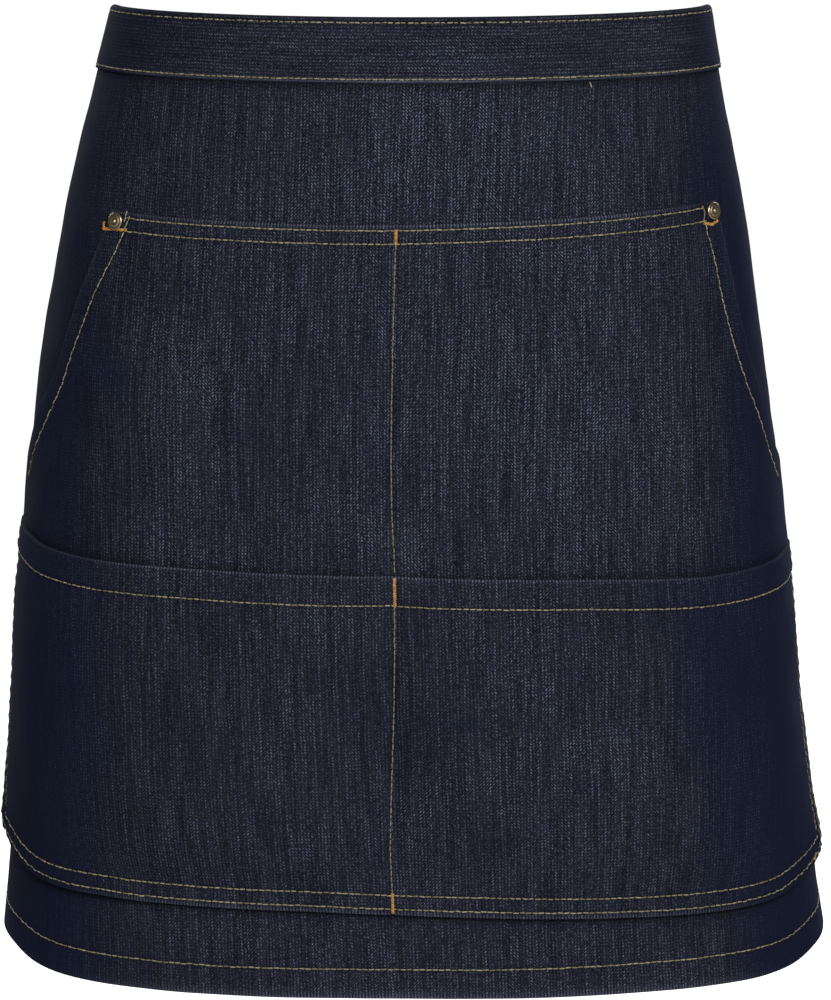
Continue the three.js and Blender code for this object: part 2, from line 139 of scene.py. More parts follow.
# Mouth and foot of the lower pocket: across, mouth, foot
LOWER_POCKET_EDGES = np.array([
    (-1.0, -0.06, -0.148),
    (-0.93, -0.054, -0.095),
    (-0.85, -0.043, -0.04),
    (-0.77, -0.028, -0.018),
    (-0.6, -0.018, -0.015),
    (-0.3, -0.013, -0.011),
    (0.0, 0.0, 0.0),
    (0.35, 0.012, 0.019),
    (0.6, 0.031, 0.029),
    (0.76, 0.029, 0.023),
    (0.86, 0.022, -0.006),
    (1.0, 0.012, -0.06),
])
# Soft creases and flutes: across, down, reach, breadth, turn in degrees, rise
CREASES = (
    (-0.47, 0.36, 0.13, 0.045, -52, 1.0),
    (-0.5, 0.42, 0.11, 0.04, -50, -0.9),
    (-0.42, 0.5, 0.12, 0.05, -8, 0.7),
    (0.12, 0.52, 0.09, 0.045, 62, -0.8),
    (0.28, 0.72, 0.12, 0.04, 84, -0.8),
    (0.18, 0.84, 0.11, 0.04, 58, -0.7),
    (-0.02, 0.12, 0.12, 0.06, 70, 0.6),
    (0.72, 0.52, 0.14, 0.09, 0, 0.8),
    (-0.97, 1.0, 0.42, 0.045, 3, 3.2),
    (0.97, 1.0, 0.42, 0.045, -3, 3.2),
    (-0.89, 1.0, 0.36, 0.04, 3, -2.0),
    (0.89, 1.0, 0.36, 0.04, -3, -2.0),
)
# Lighter and darker patches, partly wear and partly painted light and shade over the creases: across, down,
# reach, breadth, turn in degrees, share
WEAR_AND_SHADE_PATCHES = (
    (-0.33, 0.343, 0.096, 0.032, -55, 0.4),
    (-0.28, 0.363, 0.036, 0.024, 0, 0.2),
    (-0.43, 0.363, 0.032, 0.02, -52, -0.35),
    (-0.24, 0.415, 0.028, 0.016, -60, -0.3),
    (-0.33, 0.48, 0.072, 0.028, 0, 0.3),
    (-0.02, 0.11, 0.044, 0.06, 0, 0.22),
    (0.08, 0.525, 0.028, 0.032, 0, -0.3),
    (-0.07, 0.545, 0.016, 0.048, 0, -0.3),
    (0.24, 0.737, 0.1, 0.12, 0, 0.15),
    (0.17, 0.707, 0.088, 0.012, 90, -0.35),
    (0.115, 0.836, 0.05, 0.013, 62, -0.35),
    (-0.48, 0.14, 0.08, 0.07, 0, 0.42),
    (0.43, 0.14, 0.08, 0.06, 0, -0.3),
    (0.06, 0.15, 0.09, 0.11, 0, 0.6),
    (-0.19, 0.385, 0.12, 0.07, 0, -0.32),
    (0.26, 0.385, 0.12, 0.09, 0, 0.25),
    (-0.28, 0.69, 0.1, 0.06, 0, -0.4),
    (0.06, 0.69, 0.1, 0.05, 0, -0.2),
    (0.45, 0.7, 0.13, 0.06, 0, -0.75),
)
# Slanted topstitching of the hand openings: down, left across, right across
SLANT_STITCH = np.array([
    (102.0, -146.3, 165.0),
    (112.5, -151.3, 165.8),
    (121.5, -154.9, 168.3),
    (142.3, -166.2, 173.2),
    (154.5, -170.8, 177.0),
    (171.8, -178.0, 183.8),
    (192.0, -190.5, 194.1),
    (212.5, -205.8, 208.0),
    (233.0, -223.5, 222.0),
    (247.0, -234.0, 235.0),
])
# Centre stitching, as it wanders: down, across
CENTRE_STITCH = np.array([
    (104.0, -4.1),
    (190.0, -4.9),
    (241.0, -5.0),
    (278.0, -3.9),
    (296.0, -4.2),
    (342.0, -5.4),
    (417.0, -9.6),
    (446.0, -9.6),
    (456.0, -9.8),
])

# Camera, at the photograph's angle: first, so that the rest can be judged against it
CAMERA_PLACE = (0.004, -2.4, 0.1765)
CAMERA_TILT = 80.0
CAMERA_LENS = 165.6
SENSOR_HEIGHT = 36.0
NEAREST_SEEN = 0.05
FARTHEST_SEEN = 60.0
camera_data = bpy.data.cameras.new("camera")
camera_data.lens = CAMERA_LENS
camera_data.sensor_fit = "VERTICAL"
camera_data.sensor_height = SENSOR_HEIGHT
camera_data.clip_start = NEAREST_SEEN
camera_data.clip_end = FARTHEST_SEEN
camera = bpy.data.objects.new("camera", camera_data)
camera.location = CAMERA_PLACE
camera.rotation_euler = (math.radians(CAMERA_TILT), 0.0, 0.0)
bpy.context.scene.collection.objects.link(camera)
bpy.context.scene.camera = camera


def smooth_share(value, low, high):
    """Smooth step: 0 below low, 1 above high, and 3t^2 - 2t^3 between them."""
    t = np.clip((value - low) / (high - low), 0.0, 1.0)
    return t * t * (3.0 - 2.0 * t)


def table_value(table, column, place):
    """Value of a table's column: a cubic through its rows, each slope taken from the neighbours."""
    along, values = table[:, 0], table[:, column]
    last = len(along) - 1
    steps = np.arange(last + 1)
    before, after = np.maximum(steps - 1, 0), np.minimum(steps + 1, last)
    slopes = (values[after] - values[before]) / (along[after] - along[before])
    at = np.clip(place, along[0], along[-1])
    row = np.clip(np.searchsorted(along, at, side="left") - 1, 0, last - 1)
    span = along[row + 1] - along[row]
    t = (at - along[row]) / span
    lines = values[row] * (1 + 2 * t) * (1 - t) ** 2 + values[row + 1] * (3 - 2 * t) * t ** 2
    bends = slopes[row] * span * t * (1 - t) ** 2 + slopes[row + 1] * span * (t - 1) * t ** 2
    return lines + bends


def section_at(down):
    """Half width, half depth, exponent and sway of the oval at a distance below the band's top."""
    share = down / APRON_LENGTH
    return (
        table_value(BODY_SECTIONS, 1, share) * HIP_WIDTH / 2,
        table_value(BODY_SECTIONS, 2, share) * HIP_DEPTH / 2,
        table_value(BODY_SECTIONS, 3, share),
        table_value(BODY_SECTIONS, 4, share) * HIP_WIDTH,
    )


def oval_point(half_width, half_depth, square, angle):
    """Point of a superellipse in a direction from the front: polar radius of |x/a|^n + |y/b|^n = 1."""
    along_x = np.abs(np.sin(angle) / half_width) ** square
    along_y = np.abs(np.cos(angle) / half_depth) ** square
    radius = (along_x + along_y) ** (-1.0 / square)
    return radius * np.sin(angle), -radius * np.cos(angle)


# Angle from the front for each whole millimetre round the oval, one row for each 2 mm down
ROW_PITCH = 2.0
ROWS_DOWN = np.arange(0.0, APRON_LENGTH + 2 * ROW_PITCH, ROW_PITCH)
TURNS = np.linspace(0.0, math.pi, 481)
ROUND_STEPS = np.arange(0.0, 640.0)


def turn_table():
    """Angle against distance round the oval: chords summed from the front, then read the other way."""
    half_width, half_depth, square, _ = (part[:, None] for part in section_at(ROWS_DOWN))
    x, y = oval_point(half_width, half_depth, square, TURNS[None, :])
    chords = np.hypot(np.diff(x, axis=1), np.diff(y, axis=1))
    lengths = np.concatenate((np.zeros((len(x), 1)), np.cumsum(chords, axis=1)), axis=1)
    turns = np.stack([np.interp(ROUND_STEPS, row, TURNS) for row in lengths])
    return turns, lengths[:, -1]


TURN_TABLE, BACK_LENGTHS = turn_table()


def back_distance(down):
    """Distance round from the front's middle to the back's middle."""
    return np.interp(down, ROWS_DOWN, BACK_LENGTHS)


def turn_at(distance, down):
    """Angle from the front at a distance round the oval, read from the table between four values."""
    row = np.clip(down / ROW_PITCH, 0.0, len(ROWS_DOWN) - 1.001)
    column = np.clip(distance, 0.0, len(ROUND_STEPS) - 1.001)
    row0, column0 = row.astype(int), column.astype(int)
    row_share, column_share = row - row0, column - column0
    upper = TURN_TABLE[row0, column0] * (1 - column_share) + TURN_TABLE[row0, column0 + 1] * column_share
    lower = (TURN_TABLE[row0 + 1, column0] * (1 - column_share)
             + TURN_TABLE[row0 + 1, column0 + 1] * column_share)
    return upper * (1 - row_share) + lower * row_share


def bells(table, across, down):
    """Sum of a table's bells, each with its own place, reach, breadth, turn and share."""
    total = np.zeros(np.broadcast(across, down).shape)
    for bell_across, bell_down, reach, breadth, degrees, share in table:
        turn = math.radians(degrees)
        dx = across - bell_across * PANEL_HALF
        dy = down - bell_down * APRON_LENGTH
        along = (dy * math.cos(turn) - dx * math.sin(turn)) / (reach * APRON_LENGTH)
        aside = (dx * math.cos(turn) + dy * math.sin(turn)) / (breadth * APRON_LENGTH)
        total = total + share * np.exp(-along ** 2 - aside ** 2)
    return total


def crease_rise(across, down):
    """Outward rise of the creases."""
    return CREASE_RISE * bells(CREASES, across, down)


WAVES = 20
WAVE_SCALE = 1.6
# Small hollows and rises of the cloth: rises and sizes in millimetres
HOLLOW_RISE = 0.75
HOLLOW_SIZE = 95.0
RIPPLE_RISE = 0.22
RIPPLE_SIZE = 34.0
DRAPE_START = 40.0


def soft_noise(x, y, size, seed):
    """Smooth noise of about -1 to 1: sine waves of random direction, whose lengths are near size."""
    rng = np.random.default_rng(seed)
    heading = rng.uniform(0.0, math.pi, WAVES)
    length = size * rng.uniform(0.7, 1.6, WAVES)
    phase = rng.uniform(0.0, 2 * math.pi, WAVES)
    total = np.zeros(np.broadcast(x, y).shape)
    for turn, wave, start in zip(heading, length, phase):
        total = total + np.sin((x * math.cos(turn) + y * math.sin(turn)) * 2 * math.pi / wave + start)
    return total / math.sqrt(WAVES / 2) / WAVE_SCALE


def drape(across, down):
    """Small hollows and ripples that all the layers share, from none at the band to all below it."""
    held = smooth_share(down, BAND_HEIGHT, BAND_HEIGHT + DRAPE_START)
    hollows = HOLLOW_RISE * soft_noise(across, down * 0.8, HOLLOW_SIZE, 11)
    ripples = RIPPLE_RISE * soft_noise(across, down, RIPPLE_SIZE, 12)
    return held * (hollows + ripples)


def worn(across, down, lift):
    """Place of a point of cloth: on the oval at its distance round, moved out by its lift, creases
    and drape along the oval's normal, and lowered towards the back."""
    across, down, lift = np.broadcast_arrays(np.asarray(across, float), np.asarray(down, float),
                                             np.asarray(lift, float))
    half_width, half_depth, square, sway = section_at(down)
    angle = np.sign(across) * turn_at(np.abs(across), down)
    x, y = oval_point(half_width, half_depth, square, angle)
    normal_x = np.sign(x) * np.abs(x / half_width) ** (square - 1) / half_width
    normal_y = np.sign(y) * np.abs(y / half_depth) ** (square - 1) / half_depth
    size = np.hypot(normal_x, normal_y)
    out = lift + crease_rise(across, down) + drape(across, down)
    behind = y / half_depth
    back_share = (behind + np.hypot(behind, BACK_SOFTNESS)) / 2
    drop = BACK_DROP * back_share * np.maximum(1 - down / APRON_LENGTH, 0.0)
    place = np.stack((x + sway + out * normal_x / size, y + out * normal_y / size,
                      BAND_TOP - down - drop), axis=-1)
    return place * MM


# Edges and lifts of the pockets, as in the part's source
def hem_down(across):
    """Lower edge of the panel."""
    return APRON_LENGTH * table_value(HEM_EDGE, 1, np.abs(across) / PANEL_HALF)


def lower_mouth(across):
    """Upper edge of the lower pocket."""
    share = table_value(LOWER_POCKET_EDGES, 1, across / POCKET_HALF)
    return LOWER_POCKET_FOOT - LOWER_POCKET_HEIGHT + share * LOWER_POCKET_HEIGHT


def pocket_foot(across):
    """Lower edge of both pockets."""
    share = table_value(LOWER_POCKET_EDGES, 2, across / POCKET_HALF)
    return LOWER_POCKET_FOOT + share * LOWER_POCKET_HEIGHT


def upper_top(across):
    """Upper edge of the upper pocket: a shallow sag, higher on the right."""
    share = across / (POCKET_HALF * OPENING_EDGE[0, 2])
    return UPPER_POCKET_TOP - UPPER_TOP_TILT * share + UPPER_TOP_SAG * (1 - share ** 2)


def opening_reach(column, down):
    """How far the upper pocket reaches to one side at a height."""
    return POCKET_HALF * table_value(OPENING_EDGE, column, (down - UPPER_POCKET_TOP) / OPENING_HEIGHT)


def away_from(distance):
    """Rise of cloth away from a seam: 0 on it, nearly 1 a few centimetres off."""
    return 1 - np.exp(-np.maximum(distance, 0.0) / SEAM_SOFTNESS)


def pocket_rise(across, down):
    """Share of a pocket's bulge, held down by its foot, its centre seam and its sides."""
    from_foot = pocket_foot(across) - FOOT_HEM - down
    from_centre = np.abs(across - CENTRE_SEAM_SHIFT)
    sides = smooth_share(POCKET_HALF - np.abs(across), 0.0, SIDE_SOFTNESS)
    return away_from(from_foot) * away_from(from_centre) * sides


def corner_flare(across, down):
    """Stiff lower corners that stand off the panel: a bell round each corner."""
    from_side = POCKET_HALF - np.abs(across)
    from_foot = pocket_foot(across) - down
    return CORNER_FLARE * np.exp(-(from_side ** 2 + from_foot ** 2) / CORNER_SPREAD ** 2)


def upper_lift(across, down):
    """Lift of the upper pocket's inner face."""
    from_top = down - upper_top(across) - UPPER_TOP_HEM
    rise = away_from(from_top) * pocket_rise(across, down)
    return POCKET_GAP + UPPER_BULGE * rise + corner_flare(across, down)


def lower_lift(across, down):
    """Lift of the lower pocket's inner face."""
    return upper_lift(across, down) + CLOTH + POCKET_GAP + LOWER_BULGE * pocket_rise(across, down)


# Outer skins with their seams pressed in
PRESS_DEPTH = 0.42
PRESS_BREADTH = 1.1
PUCKER_RISE = 0.2
PUCKER_BREADTH = 6.0
PUCKER_PITCH = 6.4
CLOSING_BREADTH = 32.0
CLOSING_SHARE = 0.62
CLOSING_SIDES = 1.8
CLOSING_REACH = 60.0


def pressed(distance, along):
    """Relief beside a row of stitches: a narrow groove on it, and puckers that fade with distance."""
    groove = -PRESS_DEPTH * np.exp(-(distance / PRESS_BREADTH) ** 2)
    wander = 1.5 * np.sin(along / 37.0) + np.sin(along / 13.0 + 1.0)
    puckers = np.sin(2 * math.pi * along / PUCKER_PITCH + wander)
    return groove + PUCKER_RISE * puckers * np.exp(-(distance / PUCKER_BREADTH) ** 2)


def edge_roll(distance, radius):
    """Quarter circle over a folded edge: 0 on the edge, 1 at the radius and beyond."""
    share = np.clip(distance / radius, 0.0, 1.0)
    return np.sqrt(np.maximum(1 - (1 - share) ** 2, 0.0))


def centre_across(down):
    """Where the centre stitching runs."""
    return table_value(CENTRE_STITCH, 1, down)


def slant_across(column, down):
    """Where the slanted stitching runs on one side."""
    return table_value(SLANT_STITCH, column, down)


def hem_row(across):
    """Where the panel's hem is stitched."""
    return hem_down(across) - HEM_STITCH


def band_relief(across, down):
    """Relief of the waistband's outer leaf, pressed in along both its rows of stitches."""
    upper = pressed(down - BAND_TOP_STITCH, across)
    return upper + pressed(BAND_HEIGHT - BAND_STITCH - down, across + 3.0)


def band_skin(across, down):
    """Lift of the waistband's outer face."""
    return FOLD_RADIUS - CLOTH / 2 + band_relief(across, down)


def panel_skin(across, down):
    """Lift of the panel's outer face: flat cloth, pressed in along its hem and its side hems."""
    hem = pressed(down - hem_row(across), across)
    side = pressed(np.abs(across) - (PANEL_HALF - SIDE_HEM_STITCH), down)
    return hem + side


def upper_skin(across, down):
    """Lift of the upper pocket's outer face, with its folded edges rolled and its seams pressed in."""
    top = upper_top(across)
    lift = upper_lift(across, down) + CLOTH
    for inset in (TOP_STITCH_OUTER, TOP_STITCH_INNER):
        lift = lift + pressed(down - top - inset, across)
    lift = lift + pressed(across - centre_across(down), down)
    for column in (1, 2):
        slant = pressed((across - slant_across(column, down)) * SLANT_SHARE, down)
        lift = lift + np.where(down < SLANT_FOOT, slant, 0.0)
    return lift


def mouth_closing(across, down):
    """How far the worn mouth has closed: a share of the bulge, and the sides' layers pressed flat."""
    near = np.exp(-((down - lower_mouth(across)) / CLOSING_BREADTH) ** 2)
    sides = 1 - smooth_share(POCKET_HALF - np.abs(across), 0.0, CLOSING_REACH)
    return near * (CLOSING_SHARE * LOWER_BULGE * pocket_rise(across, down) + CLOSING_SIDES * sides)


def lower_skin(across, down):
    """Lift of the lower pocket's outer face: thicker over its mouth's hem, seams pressed in."""
    mouth, foot = lower_mouth(across), pocket_foot(across)
    hem = HEM_FOLD * (1 - smooth_share(down - mouth, MOUTH_STITCH - 1.0, MOUTH_STITCH + 1.6))
    foot_hem = 0.5 * HEM_FOLD * smooth_share(foot - down, FOOT_HEM + 4.0, FOOT_HEM)
    lift = lower_lift(across, down) + CLOTH + hem + foot_hem - mouth_closing(across, down)
    lift = lift + pressed(down - mouth - MOUTH_STITCH, across)
    lift = lift + pressed(across - centre_across(down), down)
    for inset in FOOT_STITCHES:
        lift = lift + pressed(foot - down - inset, across)
        lift = lift + pressed(POCKET_HALF - np.abs(across) - inset, down)
    return lift


# Distances of the closer columns beside a side edge, and on both sides of a seam
EDGE_STEPS = np.array((0.12, 0.4, 0.85, 1.5))
BESIDE_SEAM = 2.2 * np.array((-1.0, -0.45, 0.0, 0.45, 1.0))
# Angles of the rows round a fold
HALF_TURN = np.linspace(0.0, math.pi, 9)[:, None]
# Rows beside an edge or a seam, closer together than elsewhere: distances in millimetres
BELOW_BAND = np.array((1.0, 2.2, 3.6, 5.2, 7.4))
ROUND_FOOT = np.array((-1.8, -0.4, 0.8, 1.8, 3.0, 4.4, 6.4))[:, None]
BESIDE_HEM_ROW = np.array((-1.1, 0.0, 1.1, 2.4))[:, None]
BAND_FOOT = np.array((0.0, 0.5, 1.2, 2.2, 3.4))
BAND_FOLD = np.array((27.4, 28.4, 29.6))
BELOW_TOP = np.array((0.0, 0.12, 0.4, 0.85, 1.6, 2.4, 3.0, 3.6, 4.6, 6.4, 8.2, 9.1, 9.7, 10.3, 11.4))
BELOW_MOUTH = np.array((2.4, 4.4, 6.4, 8.4, 10.4, 12.4, 13.6, 14.4, 15.0, 15.6, 16.4, 17.6))[:, None]
ABOVE_FOOT = np.array((13.0, 11.9, 10.8, 9.7, 8.6, 7.0, 5.6, 4.6, 3.5, 2.4, 1.5, 0.85, 0.4, 0.12, 0.0))
# Columns beside the upper pocket's slanted edges and their stitching: shares of its half width
SLANT_COLUMNS = np.array((0.0004, 0.0014, 0.003, 0.006, 0.035, 0.05, 0.058, 0.066, 0.075, 0.085))

# Walls of the drawn cloth, a little thinner than the solids' so that no layers touch
PANEL_WALL = CLOTH * 0.96
POCKET_WALL = CLOTH * 0.9

# Shares of painted shade: in stitched grooves, and on the cloth under and beside edges, where shade falls
STITCHED_DARK = 0.6
TOP_INNER_DARK = 0.7
CENTRE_DARK = 0.5
UNDER_BAND_DARK = 0.8
OVER_FOOT_DARK = 0.9
OPEN_EDGE_DARK = 0.9
UNDER_MOUTH_DARK = 0.5

# Millimetres across where the flecks fade into the painted shade of the sides, on the right and on the
# left, and where they come back behind
SIDE_SHADE_RIGHT = (128.0, 206.0)
SIDE_SHADE_LEFT = (96.0, 208.0)
SHADE_ENDS_BEHIND = (252.0, 320.0)
BAND_WEAR = 0.8
LOWER_POCKET_WEAR = 0.82
STRIP_WEAR = 0.7
# Stitches of the ties' strips from their edges, in millimetres
STRIP_STITCH = 2.0
KNOT_ROWS = 61
KNOT_COLUMNS = 96
KNOT_SQUARE = 3.2


# Meshes
def spread(half, pitch):
    """Places from -half to half at about one pitch, with a few closer ones at both ends."""
    places = np.linspace(-half, half, round(2 * half / pitch) + 1)
    return np.sort(np.concatenate((places, EDGE_STEPS - half, half - EDGE_STEPS)))


def with_seams(columns, seams):
    """Columns with more of them beside each seam, so that its groove shows."""
    joined = np.concatenate([columns] + [seam + BESIDE_SEAM for seam in seams])
    joined = np.unique(np.round(joined, 2))
    return joined[(joined >= columns.min()) & (joined <= columns.max())]


def grid_faces(rows, columns, closed=False):
    """Quads of a grid of points, facing the side from which rows run down and columns run right."""
    index = np.arange(rows * columns).reshape(rows, columns)
    if closed:
        index = np.concatenate((index, index[:, :1]), axis=1)
    corners = (index[:-1, :-1], index[1:, :-1], index[1:, 1:], index[:-1, 1:])
    return np.stack(corners, axis=-1).reshape(-1, 4)


def mesh_object(name, points, faces, flat=None, values=None):
    """Object from arrays: points, faces, a flat place for each point as its UV, and named values."""
    mesh = bpy.data.meshes.new(name)
    mesh.from_pydata(points.reshape(-1, 3).tolist(), [], [list(face) for face in faces])
    if flat is not None:
        layer = mesh.uv_layers.new(name="cloth")
        corners = np.empty(len(mesh.loops), dtype=np.int32)
        mesh.loops.foreach_get("vertex_index", corners)
        layer.data.foreach_set("uv", flat.reshape(-1, 2)[corners].astype(np.float32).ravel())
    for value_name, value in (values or {}).items():
        attribute = mesh.attributes.new(value_name, "FLOAT", "POINT")
        attribute.data.foreach_set("value", np.ascontiguousarray(value, dtype=np.float32).ravel())
    mesh.shade_smooth()
    piece = bpy.data.objects.new(name, mesh)
    bpy.context.scene.collection.objects.link(piece)
    return piece


def cloth_piece(name, across, down, lift, flat, values, wall):
    """Cloth from a grid of places: the outer skin, given its wall inwards by Solidify."""
    points = worn(across, down, lift)
    rows, columns = across.shape
    flat = np.stack(flat, axis=-1) * MM
    piece = mesh_object(name, points, grid_faces(rows, columns), flat, values)
    solid = piece.modifiers.new("wall", "SOLIDIFY")
    solid.thickness = wall * MM
    solid.offset = -1.0
    solid.use_rim = True
    return piece


def tidy_poles(piece):
    """Merges a lathe's or ball's poles into single points and turns its faces outwards."""
    work = bmesh.new()
    work.from_mesh(piece.data)
    bmesh.ops.remove_doubles(work, verts=work.verts, dist=1e-6)
    bmesh.ops.recalc_face_normals(work, faces=work.faces)
    work.to_mesh(piece.data)
    work.free()
    piece.data.shade_smooth()


def wear_and_painted_shade(across, down):
    """How worn the cloth is, with painted shade: flecks most on the front's middle, least at the sides
    where painted shade darkens them, uneven in soft patches that are partly worn and partly painted light
    and shade over the creases.
    """
    sides = np.maximum(smooth_share(across, *SIDE_SHADE_RIGHT), smooth_share(-across, *SIDE_SHADE_LEFT))
    front = 1 - 0.9 * sides + 0.4 * smooth_share(np.abs(across), *SHADE_ENDS_BEHIND)
    uneven = 0.16 * soft_noise(across, down, 120.0, 21) + 0.1 * soft_noise(across, down, 45.0, 22)
    return front * (1 + uneven + bells(WEAR_AND_SHADE_PATCHES, across, down))


def painted_shade_bell(distance, breadth=1.3):
    """Share of painted shade at a distance from a seam or an edge: a bell."""
    return np.exp(-(distance / breadth) ** 2)


def rubbed(distance, breadth=1.3):
    """Share of an edge's rubbed brightness at a distance from it: e to the minus distance."""
    return np.exp(-np.abs(distance) / breadth)


def largest(*shares):
    """Largest of several shares, place by place."""
    return np.maximum.reduce(shares)


# Cloth pieces
def panel_piece():
    """Panel: rows run down its outer face, round the hem's fold and up the turned-in hem behind."""
    radius = (CLOTH * 2 + HEM_FOLD * 0.4) / 2
    side_row = PANEL_HALF - SIDE_HEM_STITCH
    columns = with_seams(spread(PANEL_HALF, 3.4), (-side_row, side_row))
    hem = hem_down(columns)[None, :]
    foot = pocket_foot(columns)[None, :]
    row = hem - HEM_STITCH
    top = np.concatenate((np.linspace(FOLD_RADIUS, BAND_HEIGHT, 8), BAND_HEIGHT + BELOW_BAND))
    stretch = np.linspace(BAND_HEIGHT + 10.0, foot[0] - 3.6, 104)
    above_hem = np.linspace(foot[0] + 9.0, row[0] - 2.0, 6)
    tail = np.linspace(5.0, HEM_STITCH - radius - 0.5, 4)[:, None]
    face = np.concatenate((top[:, None] + 0 * foot, stretch, foot + ROUND_FOOT, above_hem,
                           row + BESIDE_HEM_ROW, row + tail))
    fold = hem - radius + radius * np.sin(HALF_TURN)
    fold_lift = -radius + radius * np.cos(HALF_TURN) + 0 * fold
    inside = hem - radius - np.linspace(2.0, HEM_DEPTH, 6)[:, None]
    down = np.concatenate((face, fold, inside))
    across = np.broadcast_to(columns[None, :], down.shape)
    face_lift = panel_skin(across[:len(face)], face)
    lift = np.concatenate((face_lift, fold_lift, np.full(inside.shape, -2 * radius)))
    path = np.concatenate((face, hem - radius + radius * HALF_TURN, 2 * hem - inside))
    inside_pocket = np.abs(across) < POCKET_HALF + 2.0
    values = {
        "wear_and_shade": wear_and_painted_shade(across, down),
        "edge": rubbed(hem - down, 1.4),
        # Painted shade: in the hem's stitched groove, under the waistband and over the pockets' foot
        "dark": largest(
            STITCHED_DARK * painted_shade_bell(down - row),
            UNDER_BAND_DARK * painted_shade_bell(down - BAND_HEIGHT, 3.4),
            OVER_FOOT_DARK * painted_shade_bell(down - foot, 3.6) * inside_pocket,
        ),
    }
    return cloth_piece("panel_cloth", across, down, lift, (across, -path), values, PANEL_WALL)


def band_piece():
    """Waistband: rows run up the inner leaf, over the fold and down the outer leaf."""
    columns = spread(PANEL_HALF + BAND_OVERHANG, 3.2)[None, :]
    middle = -CLOTH / 2
    leaf = np.concatenate((BAND_FOOT, np.linspace(5.0, BAND_HEIGHT - 7.0, 9), BAND_FOLD))
    inner = (BAND_HEIGHT - leaf)[:, None] + 0 * columns
    outer = inner[::-1]
    fold = FOLD_RADIUS - FOLD_RADIUS * np.sin(HALF_TURN) + 0 * columns
    fold_lift = middle - FOLD_RADIUS * np.cos(HALF_TURN) + 0 * columns
    down = np.concatenate((inner, fold, outer))
    across = np.broadcast_to(columns, down.shape)
    end_roll = edge_roll(BAND_HEIGHT - outer, 1.1)
    outer_lift = middle + FOLD_RADIUS + band_relief(across[:len(outer)], outer) - (1 - end_roll)
    lift = np.concatenate((np.full(inner.shape, middle - FOLD_RADIUS), fold_lift, outer_lift))
    path = np.concatenate((inner, FOLD_RADIUS - FOLD_RADIUS * HALF_TURN + 0 * fold, -outer))
    # Painted shade in the grooves of both rows of stitches
    lower_row = painted_shade_bell(BAND_HEIGHT - BAND_STITCH - down)
    values = {
        "wear_and_shade": BAND_WEAR * wear_and_painted_shade(across, down),
        "edge": rubbed(BAND_HEIGHT - down, 1.2),
        "dark": STITCHED_DARK * largest(lower_row, painted_shade_bell(down - BAND_TOP_STITCH)),
    }
    return cloth_piece("band_cloth", across, down, lift, (path, across), values, PANEL_WALL)


def upper_pocket_piece():
    """Hand pocket: rows follow its slanted openings from the top edge down to its foot."""
    shares = np.unique(np.round(np.linspace(-1.0, 1.0, 183), 2))
    share = np.unique(np.concatenate((shares, 1 - SLANT_COLUMNS, SLANT_COLUMNS - 1)))[None, :]
    top = UPPER_POCKET_TOP
    levels = np.concatenate((top + BELOW_TOP, np.linspace(top + 13.5, OPENING_FOOT, 58)))
    body = np.unique(np.concatenate((np.linspace(0.0, 1.0, 58)[1:], np.arange(0.09, 0.23, 0.006))))
    level = np.concatenate((levels, np.full(len(body), OPENING_FOOT)))[:, None]
    left, right = opening_reach(1, level), opening_reach(2, level)
    seam_at = centre_across(level)
    across = seam_at + share * np.where(share < 0, seam_at + left, right - seam_at)
    fall = np.clip(1 - (level - top) / OPENING_HEIGHT, 0.0, 1.0)
    slanted = level + (upper_top(across) - top) * fall
    foot = pocket_foot(across[len(levels):]) - SEAM_GAP
    straight_part = OPENING_FOOT + body[:, None] * (foot - OPENING_FOOT)
    down = np.concatenate((slanted[:len(levels)], straight_part))
    from_top = down - upper_top(across)
    from_side = np.where(share < 0, across + left, right - across) * SLANT_SHARE
    roll = edge_roll(np.minimum(from_top, from_side), 1.1)
    lift = upper_skin(across, down) * roll + 0.1 * (1 - roll)
    # Painted shade: in the stitched grooves, along the open edges and under the lower pocket's mouth
    slants = [(down < SLANT_FOOT) * painted_shade_bell((across - slant_across(column, down)) * SLANT_SHARE)
              for column in (1, 2)]
    values = {
        "wear_and_shade": wear_and_painted_shade(across, down),
        "edge": np.maximum(rubbed(from_top, 0.8), rubbed(from_side) * (down < OPENING_FOOT)),
        "dark": largest(
            STITCHED_DARK * painted_shade_bell(from_top - TOP_STITCH_OUTER),
            TOP_INNER_DARK * painted_shade_bell(from_top - TOP_STITCH_INNER),
            CENTRE_DARK * painted_shade_bell(across - centre_across(down)),
            STITCHED_DARK * largest(*slants),
            OPEN_EDGE_DARK * painted_shade_bell(np.minimum(from_top, from_side), 0.4),
            UNDER_MOUTH_DARK * painted_shade_bell(down - lower_mouth(across) - 0.6, 2.2),
        ),
    }
    return cloth_piece("upper_pocket_cloth", across, down, lift, (across, -down), values, POCKET_WALL)


